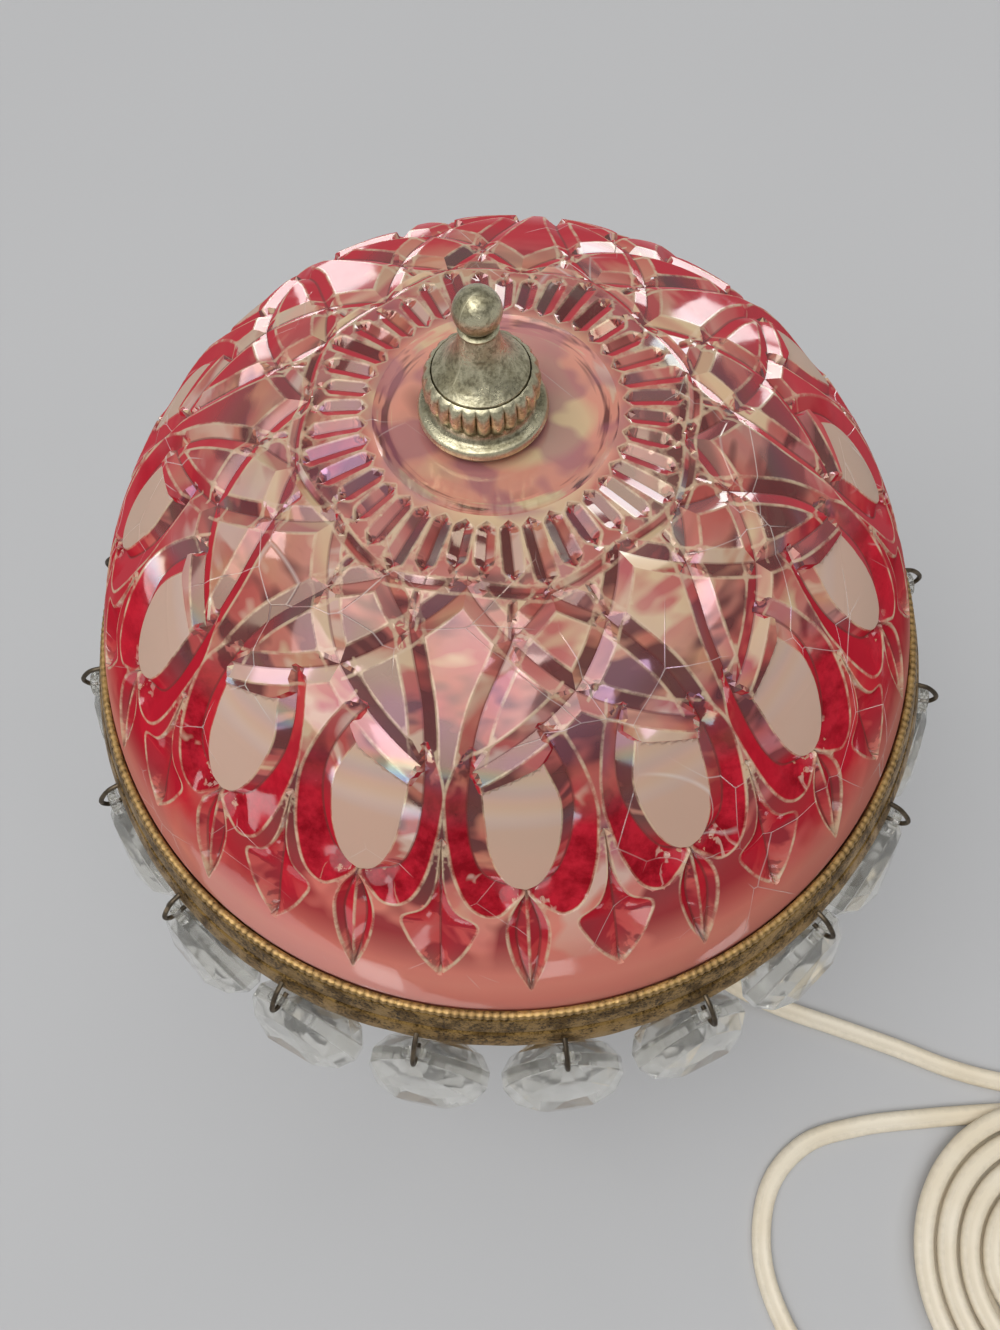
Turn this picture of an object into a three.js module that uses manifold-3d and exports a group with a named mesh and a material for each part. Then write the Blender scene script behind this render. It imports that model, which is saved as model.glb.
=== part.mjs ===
// Boudoir table lamp with a pressed glass dome, a brass rim band and hanging crystal drops.
// Millimetres, +Z up, the table top at z = 0. The shade is centred on the origin.
import * as THREE from 'three';
import { mergeVertices } from 'three/addons/utils/BufferGeometryUtils.js';
import Module from 'manifold-3d';

// Driving dimensions: clearances
const SEAT = 0.3; // between two pieces that rest on or in each other
const FINE = 0.25; // round a wire, a shaft or a pipe in its hole

// Driving dimensions: glass shade
const RIM_RADIUS = 75;
const RIM_HEIGHT = 165; // glass rim above the table
const DOME_RISE = 58.2; // rim to the top of the dome's curve
const DOME_POWER = 3.4; // how square the dome's shoulder is
const DOME_ROUND = 0.8;
const GLASS_WALL = 4.2;
const CROWN_WALL = 4.9;
const RIM_TUCK = 4; // glass that stands down inside the rim band
const CROWN_RADIUS = 17.8; // smooth disc round the finial
const CROWN_DISH = 0.8;
const SHADE_HOLE = 5.6;
const SHADE_SHIFT = 1.7; // the shade's loose hole lets it sit off the stem's axis

// Driving dimensions: pattern pressed into the glass
const PATTERN_REPEATS = 8; // each mirrored, so the ovals come twice as often
const PATTERN_PHASE = -100.3; // first mirror plane, degrees from +X
const MITRE_DEPTH = 0.9; // crossed bands and arches
const MITRE_SLOPE = 1.7; // half width of a cut for each mm of its depth
const OVAL_DEPTH = 1.5; // valley round each oval
const PANEL_DEPTH = 0.6; // frosted panel inside it
const SPEAR_DEPTH = 1.6;
const SPEAR_SLOPE = 2.4;
const FLUTE_COUNT = 40; // in the ring round the crown
const FLUTE_DEPTH = 0.7;
const FLUTE_SLOPE = 1;

// Driving dimensions: rim band
const BAND_GAUGE = 1;
const BAND_TOP = 0.3; // top edge above the glass rim line
const SKIRT_DROP = 9.4; // lower lip below the glass rim line
const SKIRT_FLARE = 2.7; // how far the lip stands out past the band's top
const SKIRT_GAUGE = 0.8;

// Driving dimensions: crystal drops and the wire they hang on
const DROP_COUNT = 20;
const DROP_PHASE = -85.3; // angle of the first drop, degrees from +X
const DROP_OUT = 1.8; // skirt's lip out to the drop's hinge
const DROP_HANG = 14.2; // glass rim line down to the hinge
const DROP_HOLE = 1;
const DROP_LENGTH = 43;
const DROP_HALF_WIDTH = 12;
const DROP_HALF_DEPTH = 6.5;
const DROP_TAB = 0.85; // half the thickness round the hole
const HOOK_WIRE = 0.45;
const HOOP_CLEAR = 0.64; // hoop to the back of the skirt
const HOOK_BEND = 2; // how far each hook stands out in front of its drop

// Driving dimensions: finial and stud
const FINIAL_FLANGE = 9.4;
const FINIAL_COLLAR = 8.3;
const FINIAL_BELL = 6.5;
const FINIAL_NECK = 2.3;
const FINIAL_BALL = 3.2;
const FINIAL_HEIGHT = 23.4;
const FINIAL_LOBES = 24;
const LOBE_DEPTH = 0.55;
const FINIAL_BORE_DEPTH = 8.5;
const WASHER_RADIUS = 8.6;
const WASHER_THICK = 0.8;
const STUD_RADIUS = 3.1;
const STUD_FOOT = 6;
const STUD_FOOT_THICK = 2.4;
const REST_RADIUS = 16;
const REST_THICK = 1;

// Driving dimensions: harp
const HARP_HEIGHT = 118.3; // saddle to the wire's centre at the top
const HARP_WIRE = 2;
const HARP_HALF_WIDTH = 38;
const HARP_FOOT = 24; // half the distance between the harp's feet
const FERRULE_LENGTH = 13;
const FERRULE_WALL = 0.9;
const EAR_HALF_WIDTH = 2;
const EAR_HEIGHT = 12;
const STRAP_WIDTH = 14;
const STRAP_GAUGE = 1.4;

// Driving dimensions: base and column
const FELT_THICK = 1.2;
const FELT_RADIUS = 46;
const BASE_RADIUS = 47;
const PLINTH_HEIGHT = 10.5;
const BASE_HEIGHT = 23;
const BASE_NECK = 17;
const POCKET_RADIUS = 12;
const POCKET_DEPTH = 15.2;
const LOWER_CUP_HEIGHT = 11.5;
const LOWER_CUP_RADIUS = 17.5;
const COLUMN_BULGE = 17;
const COLUMN_WAIST = 9;
const COLUMN_PANELS = 16;
const UPPER_CUP_HEIGHT = 9.5;
const UPPER_CUP_RADIUS = 14;
const PIPE_RADIUS = 4.8;
const PIPE_BORE = 3.9;
const PIPE_IN_CAP = 8;
const NUT_FLATS = 14;
const NUT_THICK = 4;
const LOCK_WASHER_RADIUS = 10.4;

// Driving dimensions: lamp holder and bulb
const SHELL_RADIUS = 16.2;
const SHELL_GAUGE = 0.8;
const SHELL_HEIGHT = 36;
const CAP_HEIGHT = 15;
const CAP_OVERLAP = 4;
const LINER_GAUGE = 0.8;
const CORE_HEIGHT = 12;
const SCREW_GAUGE = 0.4;
const SCREW_HEIGHT = 22;
const BULB_CAP_RADIUS = 12.9;
const BULB_CAP_HEIGHT = 22;
const BULB_RADIUS = 24;
const BULB_GLASS_HEIGHT = 57;
const BULB_WALL = 1;
const CONTACT_RADIUS = 3;
const SWITCH_SHAFT = 1.5;
const SWITCH_REACH = 31; // stem axis to the knob's end
const KNOB_RADIUS = 4.6;
const KNOB_LENGTH = 11;
const KNOB_RIBS = 12;

// Driving dimensions: cord, flat with two cores
const CORD_WIDTH = 5.3;
const CORD_THICK = 2.8;
const CORD_SIDES = 8;
const CORD_ANGLE = -37; // way out of the base, degrees from +X
const CORD_BORE_RADIUS = 3.4;
const CORD_BORE_HEIGHT = 6;
const BUSHING_TAPER = 21; // length of the tapered strain relief outside the base
const COIL_RADIUS = 40.8;
const COIL_TURNS = 3.25; // in each of the two layers
const COIL_SPACE = 0.8;
const COIL_DIP = 4; // how far the climbing half turn swings inside the others
const COIL_STEPS = 24; // per loop
const COIL_CENTRE = [144, -127.5];
const TAIL_LENGTH = 32; // from the coil to the plug
const PLUG_LENGTH = 23;
const PLUG_HALF_WIDTH = 11;
const PLUG_HALF_DEPTH = 4.8;
const PLUG_NECK = 12;
const BLADE_LENGTH = 17;
const BLADE_WIDTH = 6.35;
const BLADE_GAUGE = 1.5;
const BLADE_SPACING = 12.7;

// Heights from the crown of the shade down to the harp's saddle
const RIM_Z = RIM_HEIGHT;
const DOME_TOP = RIM_Z + DOME_RISE;
const CROWN_Z = domeHeight(CROWN_RADIUS) - CROWN_DISH;
const CROWN_UNDER = DOME_TOP - CROWN_WALL;
const WASHER_Z = CROWN_Z + SEAT;
const FINIAL_Z = WASHER_Z + WASHER_THICK + SEAT;
const REST_Z = CROWN_UNDER - SEAT - REST_THICK;
const STUD_Z = REST_Z - SEAT - STUD_FOOT_THICK;
const HARP_TOP = STUD_Z - SEAT - HARP_WIRE;
const SADDLE_Z = HARP_TOP - HARP_HEIGHT;

// Heights from the table up, with the column as long as the room that is left
const BASE_Z = FELT_THICK + SEAT;
const BASE_TOP = BASE_Z + BASE_HEIGHT;
const LOWER_CUP_Z = BASE_TOP + SEAT;
const COLUMN_Z = LOWER_CUP_Z + LOWER_CUP_HEIGHT + SEAT;
const UPPER_CUP_Z = SADDLE_Z - SEAT - UPPER_CUP_HEIGHT;
const COLUMN_HEIGHT = UPPER_CUP_Z - SEAT - COLUMN_Z;
const CAP_Z = SADDLE_Z + STRAP_GAUGE + SEAT;
const SHELL_Z = CAP_Z + CAP_HEIGHT - CAP_OVERLAP;
const CORE_Z = SHELL_Z;
const SCREW_Z = CORE_Z + CORE_HEIGHT + SEAT;
const BULB_Z = SCREW_Z + 2;
const PIPE_HOLE = PIPE_RADIUS + FINE;

const wasm = await Module();
wasm.setup();

// Finishes
const FINISHES = {
  rose_glass: { color: 0xd8707a, roughness: 0.08, metalness: 0, transparent: true, opacity: 0.6 },
  crystal: { color: 0xe9ecee, roughness: 0.04, metalness: 0, transparent: true, opacity: 0.5 },
  antique_brass: { color: 0x8a6a35, roughness: 0.45, metalness: 1 },
  bright_brass: { color: 0xb08d4a, roughness: 0.3, metalness: 1 },
  cast_nickel: { color: 0x9c9482, roughness: 0.35, metalness: 1 },
  dark_wire: { color: 0x4a4034, roughness: 0.5, metalness: 1 },
  steel: { color: 0x8d8f92, roughness: 0.4, metalness: 1 },
  opal_glass: { color: 0xf4f1ea, roughness: 0.4, metalness: 0 },
  dark_plastic: { color: 0x2a211c, roughness: 0.35, metalness: 0 },
  fibre: { color: 0x6b5640, roughness: 0.9, metalness: 0 },
  ivory_plastic: { color: 0xe2d6b8, roughness: 0.45, metalness: 0 },
  green_felt: { color: 0x2f4a3a, roughness: 1, metalness: 0 },
};

const lamp = new THREE.Group();
const stem = new THREE.Group();
stem.position.x = -SHADE_SHIFT;
lamp.add(stem);

function addPart(name, geometry, finish, parent = lamp) {
  const mesh = new THREE.Mesh(geometry, new THREE.MeshStandardMaterial(FINISHES[finish]));
  mesh.name = name;
  parent.add(mesh);
  return mesh;
}

// Shapes: a profile of [radius, height] pairs turned about Z, outside wall upwards
function turned(profile, segments = 24) {
  const points = profile.map(([r, z]) => new THREE.Vector2(r, z));
  return new THREE.LatheGeometry(points, segments).rotateX(Math.PI / 2);
}

function ring(inner, outer, low, high, segments = 24) {
  return turned([[inner, low], [outer, low], [outer, high], [inner, high], [inner, low]], segments);
}

function bar(radius, length, segments = 16) {
  return new THREE.CylinderGeometry(radius, radius, length, segments);
}

// Points on a smooth curve through [radius, height] pairs
function eased(pairs, steps) {
  const curve = new THREE.SplineCurve(pairs.map(([r, z]) => new THREE.Vector2(r, z)));
  return curve.getPoints(steps).map((p) => [p.x, p.y]);
}

// A closed body from rings of points, each ring with as many points, capped at both ends
function lofted(rings) {
  const count = rings[0].length;
  const positions = rings.flat(2);
  const index = [];
  for (let i = 0; i < rings.length - 1; i += 1) {
    for (let j = 0; j < count; j += 1) {
      const a = i * count + j;
      const b = i * count + ((j + 1) % count);
      index.push(a, b, b + count, a, b + count, a + count);
    }
  }
  const last = (rings.length - 1) * count;
  for (let j = 1; j < count - 1; j += 1) {
    index.push(0, j + 1, j, last, last + j, last + j + 1);
  }
  const geometry = new THREE.BufferGeometry();
  geometry.setAttribute('position', new THREE.Float32BufferAttribute(positions, 3));
  geometry.setIndex(index);
  return geometry;
}

// Booleans: the welded mesh of a geometry as a solid, and back
function toSolid(geometry) {
  const bare = geometry.clone();
  bare.deleteAttribute('normal');
  bare.deleteAttribute('uv');
  const welded = mergeVertices(bare, 1e-4);
  const source = welded.index.array;
  const triangles = [];
  for (let i = 0; i < source.length; i += 3) {
    const [a, b, c] = [source[i], source[i + 1], source[i + 2]];
    if (a !== b && b !== c && c !== a) triangles.push(a, b, c);
  }
  const mesh = new wasm.Mesh({
    numProp: 3,
    vertProperties: Float32Array.from(welded.attributes.position.array),
    triVerts: Uint32Array.from(triangles),
  });
  return new wasm.Manifold(mesh);
}

function fromSolid(solid) {
  const mesh = solid.getMesh();
  const geometry = new THREE.BufferGeometry();
  geometry.setAttribute('position', new THREE.Float32BufferAttribute(mesh.vertProperties, 3));
  geometry.setIndex(Array.from(mesh.triVerts));
  return geometry;
}

function cut(body, tools) {
  return fromSolid(tools.reduce((solid, tool) => solid.subtract(toSolid(tool)), toSolid(body)));
}

function joined(geometries) {
  const solids = geometries.map(toSolid);
  return fromSolid(solids.slice(1).reduce((sum, solid) => sum.add(solid), solids[0]));
}

// Dome: height of the glass at a radius, for the outside and the inside
function domeHeight(radius, reach = RIM_RADIUS, rise = DOME_RISE) {
  const flat = 1 - Math.min(1, radius / reach) ** DOME_POWER;
  return RIM_HEIGHT + rise * flat ** DOME_ROUND;
}

function domeProfile(reach, rise, from, steps) {
  const points = [];
  for (let i = 0; i <= steps; i += 1) {
    const turn = (i / steps) * (Math.PI / 2);
    const radius = from + (reach - from) * Math.cos(turn);
    points.push([radius, domeHeight(radius, reach, rise)]);
  }
  return points;
}

// A point at a height above the dome, at an angle in degrees and a share of the way from crown to rim
const DOME_CURVE = new THREE.SplineCurve(
  domeProfile(RIM_RADIUS, DOME_RISE, CROWN_RADIUS, 40).reverse().map((p) => new THREE.Vector2(...p)),
);

function onDome([angle, share], height) {
  const point = DOME_CURVE.getPointAt(share);
  const way = DOME_CURVE.getTangentAt(share);
  const turn = THREE.MathUtils.degToRad(PATTERN_PHASE + angle);
  const radius = point.x - way.y * height;
  return new THREE.Vector3(radius * Math.cos(turn), radius * Math.sin(turn), point.y + way.x * height);
}

// Cut of a V-edged wheel along [angle, share, strength] points: narrower where it is shallower
const CUT_ABOVE = 1.2;

function mitre(path, depth, slope) {
  const last = path.length - 1;
  const rings = path.map((at, i) => {
    const before = onDome(path[Math.max(0, i - 1)], 0);
    const after = onDome(path[Math.min(last, i + 1)], 0);
    const up = onDome(at, 1).sub(onDome(at, 0));
    const side = after.sub(before).normalize().cross(up);
    const foot = onDome(at, -depth * at[2]);
    const top = onDome(at, CUT_ABOVE);
    const half = (depth * at[2] + CUT_ABOVE) * slope;
    const corners = [foot, top.clone().addScaledVector(side, -half), top.clone().addScaledVector(side, half)];
    return corners.map((corner) => corner.toArray());
  });
  return lofted(rings);
}

// Oval: a slanted wall down to a valley, and a panel that stands up inside it
function ovalCut(middle) {
  const sides = 8;
  const outline = (wide, high, centre, height) => Array.from({ length: sides }, (_, j) => {
    const turn = (2 * Math.PI * (j + 0.5)) / sides;
    const at = [middle + wide * Math.cos(turn), centre + high * Math.sin(turn)];
    return onDome(at, height).toArray();
  });
  return lofted([
    outline(12.4, 0.236, 0.476, 3 * CUT_ABOVE), outline(7.9, 0.175, 0.47, -OVAL_DEPTH),
    outline(5.6, 0.145, 0.48, -PANEL_DEPTH),
  ]);
}

// Girdle edge, then a crossing band and an arch on each side of one mirror plane
const HALF_REPEAT = 180 / PATTERN_REPEATS;

function bandCuts(plane) {
  const at = (share, along, strength) => [plane + share * HALF_REPEAT, along, strength];
  const paths = [[at(-1, 0.139, 0.5), at(1, 0.139, 0.5)]];
  [-1, 1].forEach((side) => {
    paths.push([at(0, 0.117, 0.6), at(side * 0.5, 0.2, 1), at(side, 0.295, 1), at(side * 1.82, 0.41, 0.6)]);
    paths.push([at(side, 0.139, 0.6), at(side * 0.5, 0.2, 1), at(side * 0.34, 0.27, 0.6)]);
  });
  return paths.map((path) => mitre(path, MITRE_DEPTH, MITRE_SLOPE));
}

// Every cut of the pattern, from the flutes round the crown to the spears over the rim
function patternCuts() {
  const cuts = [];
  for (let i = 0; i < FLUTE_COUNT; i += 1) {
    const angle = ((i + 0.5) * 360) / FLUTE_COUNT;
    const fold = Math.abs(((angle / HALF_REPEAT + 1) % 2) - 1);
    cuts.push(mitre([[angle, 0.012, 1], [angle, 0.088 + 0.04 * fold, -0.1]], FLUTE_DEPTH, FLUTE_SLOPE));
  }
  for (let i = 0; i < PATTERN_REPEATS; i += 1) cuts.push(...bandCuts(2 * i * HALF_REPEAT));
  for (let i = 0; i < 2 * PATTERN_REPEATS; i += 1) {
    const plane = i * HALF_REPEAT;
    cuts.push(ovalCut(plane + HALF_REPEAT / 2));
    cuts.push(mitre([[plane, 0.533, -0.1], [plane, 0.714, 1], [plane, 0.869, -0.1]], SPEAR_DEPTH, SPEAR_SLOPE));
  }
  return cuts;
}

function makeShade() {
  const inner = RIM_RADIUS - GLASS_WALL;
  const outside = turned([
    [0, RIM_Z - RIM_TUCK],
    [RIM_RADIUS, RIM_Z - RIM_TUCK],
    ...domeProfile(RIM_RADIUS, DOME_RISE, CROWN_RADIUS, 8),
    [CROWN_RADIUS - 3, CROWN_Z],
    [0, CROWN_Z],
  ], 4 * PATTERN_REPEATS).rotateZ(THREE.MathUtils.degToRad(PATTERN_PHASE + 90));
  const inside = turned([
    [0, RIM_Z - RIM_TUCK - 1],
    [inner, RIM_Z - RIM_TUCK - 1],
    ...domeProfile(inner, DOME_RISE - CROWN_WALL, REST_RADIUS, 4),
    [0, CROWN_UNDER],
  ], 40);
  const hole = bar(SHADE_HOLE, 20, 16).rotateX(Math.PI / 2).translate(0, 0, CROWN_Z);
  return cut(outside, [...patternCuts(), inside, hole]);
}

// Rim band: a channel under the glass edge with a thin flared skirt outside it
const BAND_IN = RIM_RADIUS - GLASS_WALL - SEAT - BAND_GAUGE;
const BAND_OUT = RIM_RADIUS + SEAT + BAND_GAUGE;
const CHANNEL_FLOOR = RIM_Z - RIM_TUCK - SEAT;
const LIP_RADIUS = BAND_OUT + BAND_GAUGE + SKIRT_FLARE;
const LIP_Z = RIM_Z - SKIRT_DROP;

function skirtRadius(z) {
  const down = (RIM_Z - 1 - z) / (SKIRT_DROP - 1);
  return BAND_OUT + BAND_GAUGE * 0.6 + (LIP_RADIUS - BAND_OUT - BAND_GAUGE * 0.6) * down;
}

function dropAngles() {
  return Array.from({ length: DROP_COUNT }, (_, i) => {
    return THREE.MathUtils.degToRad(DROP_PHASE + (360 * i) / DROP_COUNT);
  });
}

// Where a hook comes out through the skirt
const SKIRT_HOLE_Z = LIP_Z + 1.7;
const SKIRT_HOLE_RADIUS = skirtRadius(SKIRT_HOLE_Z) - SKIRT_GAUGE / 2;
const HOOP_Z = SKIRT_HOLE_Z + 0.5;
const HOOP_RADIUS = skirtRadius(HOOP_Z) - SKIRT_GAUGE - HOOP_CLEAR - HOOK_WIRE;
const DROP_RADIUS = LIP_RADIUS + DROP_OUT; // lamp axis to the drop's hinge

function makeRimBand() {
  const floor = CHANNEL_FLOOR - BAND_GAUGE;
  const bead = BAND_OUT + BAND_GAUGE * 0.6;
  const profile = [
    [BAND_IN, floor],
    [skirtRadius(floor) - SKIRT_GAUGE, floor],
    [LIP_RADIUS - SKIRT_GAUGE, LIP_Z],
    [LIP_RADIUS, LIP_Z],
    [skirtRadius(LIP_Z + 3.6), LIP_Z + 3.6],
    [bead, RIM_Z - 1],
    [bead, RIM_Z + BAND_TOP],
    [RIM_RADIUS + SEAT, RIM_Z + BAND_TOP - 0.2],
    [RIM_RADIUS + SEAT, CHANNEL_FLOOR],
    [BAND_IN + BAND_GAUGE, CHANNEL_FLOOR],
    [BAND_IN + BAND_GAUGE, RIM_Z - 1],
    [BAND_IN, RIM_Z - 1],
    [BAND_IN, floor],
  ];
  const holes = dropAngles().map((angle) => {
    const hole = bar(HOOK_WIRE + SEAT, 5, 4).rotateZ(Math.PI / 2);
    return hole.translate(SKIRT_HOLE_RADIUS, 0, SKIRT_HOLE_Z).rotateZ(angle);
  });
  const facet = Math.PI / (2 * DROP_COUNT);
  return cut(turned(profile, 2 * DROP_COUNT).rotateZ(dropAngles()[0] + Math.PI / 2 + facet), holes);
}

// Wire bent in the plane of the lamp's axis, through [radius, height] pairs
function bentWire(path, sides) {
  const last = path.length - 1;
  const rings = path.map(([r, z], i) => {
    const [before, after] = [path[Math.max(0, i - 1)], path[Math.min(last, i + 1)]];
    const way = [after[0] - before[0], after[1] - before[1]];
    const size = Math.hypot(...way);
    return Array.from({ length: sides }, (_, j) => {
      const turn = (2 * Math.PI * j) / sides;
      const reach = (HOOK_WIRE * Math.cos(turn)) / size;
      return [r - way[1] * reach, -HOOK_WIRE * Math.sin(turn), z + way[0] * reach];
    });
  });
  return lofted(rings);
}

// Hoop behind the skirt, with a hook for each drop coming out through the skirt's holes
function makeHookWire() {
  const hingeZ = RIM_Z - DROP_HANG;
  const front = DROP_RADIUS + HOOK_BEND;
  const path = [
    [HOOP_RADIUS, HOOP_Z], [SKIRT_HOLE_RADIUS, SKIRT_HOLE_Z], [DROP_RADIUS - 0.4, SKIRT_HOLE_Z - 0.7],
    [front, hingeZ + 2.6], [front - 0.8, hingeZ + 0.3], [DROP_RADIUS - 1.7, hingeZ],
  ];
  const hook = bentWire(path, 3);
  const hoop = new THREE.TorusGeometry(HOOP_RADIUS, HOOK_WIRE, 4, DROP_COUNT);
  hoop.translate(0, 0, HOOP_Z).rotateZ(dropAngles()[0]);
  return joined([hoop, ...dropAngles().map((angle) => hook.clone().rotateZ(angle))]);
}

// Crystal drop: six-sided rings from the thin tab at the top to the pointed foot
function makeDrop() {
  const levels = [
    [2.5, 2.4, DROP_TAB * 0.8],
    [-2.6, 4.6, DROP_TAB],
    [-0.58 * DROP_LENGTH, DROP_HALF_WIDTH, DROP_HALF_DEPTH],
    [-0.84 * DROP_LENGTH, 0.72 * DROP_HALF_WIDTH, 0.66 * DROP_HALF_DEPTH],
    [-DROP_LENGTH, 0.16 * DROP_HALF_WIDTH, 0.16 * DROP_HALF_DEPTH],
  ];
  const rings = levels.map(([z, wide, deep]) => [
    [0, -wide], [deep, -wide / 2], [deep, wide / 2], [0, wide], [-deep, wide / 2], [-deep, -wide / 2],
  ].map(([x, y]) => [x, y, z]).reverse());
  const hole = bar(DROP_HOLE, 8, 6).rotateZ(Math.PI / 2);
  return cut(lofted(rings), [hole]);
}

function addShadeAssembly() {
  addPart('shade', makeShade(), 'rose_glass');
  addPart('rim_band', makeRimBand(), 'antique_brass');
  addPart('hook_wire', makeHookWire(), 'dark_wire');
  const drop = makeDrop();
  dropAngles().forEach((angle, i) => {
    const mesh = addPart(`prism_${String(i + 1).padStart(2, '0')}`, drop, 'crystal');
    mesh.rotation.z = angle;
    mesh.position.set(DROP_RADIUS * Math.cos(angle), DROP_RADIUS * Math.sin(angle), RIM_Z - DROP_HANG);
  });
}

// Finial: turned body with a lobed collar round its foot
function makeFinial() {
  const bell = eased([
    [FINIAL_BELL, 7], [0.6 * FINIAL_BELL, 9.4], [1.15 * FINIAL_NECK, 13], [FINIAL_NECK, 16.4],
  ], 3);
  const ballZ = FINIAL_HEIGHT - FINIAL_BALL;
  const ball = [-45, -8, 30, 65].map((turn) => {
    const lift = THREE.MathUtils.degToRad(turn);
    return [FINIAL_BALL * Math.cos(lift), ballZ + FINIAL_BALL * Math.sin(lift)];
  });
  const flange = [[0, 0], [FINIAL_FLANGE - 0.6, 0], [FINIAL_FLANGE, 0.6], [FINIAL_FLANGE - 0.5, 1.4]];
  const neck = [[FINIAL_COLLAR - 1.2, 1.9], [FINIAL_COLLAR - 1.2, 5.8], [FINIAL_BELL + 0.2, 6.2]];
  const body = turned([...flange, ...neck, ...bell, ...ball, [0, FINIAL_HEIGHT]], 20);
  const lobes = [[1.9, -1.6], [2.7, 0], [4.8, 0], [5.7, -1.6]].map(([z, out]) => {
    return Array.from({ length: 2 * FINIAL_LOBES }, (_, j) => {
      const angle = (Math.PI * j) / FINIAL_LOBES;
      const reach = FINIAL_COLLAR + out - (j % 2 ? LOBE_DEPTH : 0);
      return [reach * Math.cos(angle), reach * Math.sin(angle), z];
    });
  });
  const bore = bar(STUD_RADIUS + FINE, 2 * FINIAL_BORE_DEPTH, 16).rotateX(Math.PI / 2);
  return cut(joined([body, lofted(lobes)]), [bore]);
}

function addFinial() {
  const washer = ring(STUD_RADIUS + FINE, WASHER_RADIUS, WASHER_Z, WASHER_Z + WASHER_THICK);
  addPart('finial_washer', washer, 'fibre', stem);
  addPart('finial', makeFinial().translate(0, 0, FINIAL_Z), 'cast_nickel', stem);
}

// Harp: round wire bent in one plane, with a stud and a check ring on top
function makeHarp() {
  const foot = SADDLE_Z + EAR_HEIGHT + SEAT;
  const up = (share) => foot + share * (HARP_TOP - foot);
  const side = [
    [HARP_FOOT, foot], [HARP_FOOT, up(0.085)], [0.83 * HARP_HALF_WIDTH, up(0.21)],
    [HARP_HALF_WIDTH, up(0.4)], [HARP_HALF_WIDTH, up(0.64)],
    [0.83 * HARP_HALF_WIDTH, up(0.86)], [0.42 * HARP_HALF_WIDTH, up(0.977)],
  ];
  const path = [...side, [0, HARP_TOP], ...side.map(([x, z]) => [-x, z]).reverse()];
  const curve = new THREE.CatmullRomCurve3(path.map(([x, z]) => new THREE.Vector3(x, 0, z)));
  const section = new THREE.Shape().absarc(0, 0, HARP_WIRE, 0, 2 * Math.PI);
  return new THREE.ExtrudeGeometry(section, { steps: 32, extrudePath: curve, curveSegments: 3 });
}

function makeSaddle() {
  const reach = HARP_FOOT + STRAP_GAUGE / 2;
  const strap = new THREE.BoxGeometry(2 * reach, STRAP_WIDTH, STRAP_GAUGE);
  strap.translate(0, 0, SADDLE_Z + STRAP_GAUGE / 2);
  const ears = [-1, 1].map((side) => {
    const ear = new THREE.BoxGeometry(STRAP_GAUGE, 2 * EAR_HALF_WIDTH, EAR_HEIGHT);
    return ear.translate(side * HARP_FOOT, 0, SADDLE_Z + EAR_HEIGHT / 2);
  });
  const hole = bar(PIPE_HOLE, 10, 24).rotateX(Math.PI / 2).translate(0, 0, SADDLE_Z);
  return cut(joined([strap, ...ears]), [hole]);
}

function addHarp() {
  addPart('harp_saddle', makeSaddle(), 'bright_brass', stem);
  addPart('harp', makeHarp(), 'bright_brass', stem);
  const bore = HARP_WIRE + SEAT;
  const low = SADDLE_Z + STRAP_GAUGE + SEAT;
  [['left', -1], ['right', 1]].forEach(([name, side]) => {
    const sleeve = ring(bore, bore + FERRULE_WALL, low, low + FERRULE_LENGTH, 16);
    addPart(`harp_ferrule_${name}`, sleeve.translate(side * HARP_FOOT, 0, 0), 'bright_brass', stem);
  });
  const stud = turned([
    [0, STUD_Z], [STUD_FOOT, STUD_Z], [STUD_FOOT, STUD_Z + STUD_FOOT_THICK],
    [STUD_RADIUS, STUD_Z + STUD_FOOT_THICK], [STUD_RADIUS, FINIAL_Z + FINIAL_BORE_DEPTH - 2],
    [STUD_RADIUS - 0.8, FINIAL_Z + FINIAL_BORE_DEPTH - 1], [0, FINIAL_Z + FINIAL_BORE_DEPTH - 1],
  ], 16);
  addPart('harp_stud', stud, 'steel', stem);
  const rest = turned([
    [STUD_RADIUS + FINE, REST_Z], [REST_RADIUS * 0.7, REST_Z], [REST_RADIUS, REST_Z - 1.6],
    [REST_RADIUS, REST_Z - 1.6 + REST_THICK], [REST_RADIUS * 0.7, REST_Z + REST_THICK],
    [STUD_RADIUS + FINE, REST_Z + REST_THICK], [STUD_RADIUS + FINE, REST_Z],
  ]);
  addPart('shade_rest', rest, 'bright_brass', stem);
}

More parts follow.
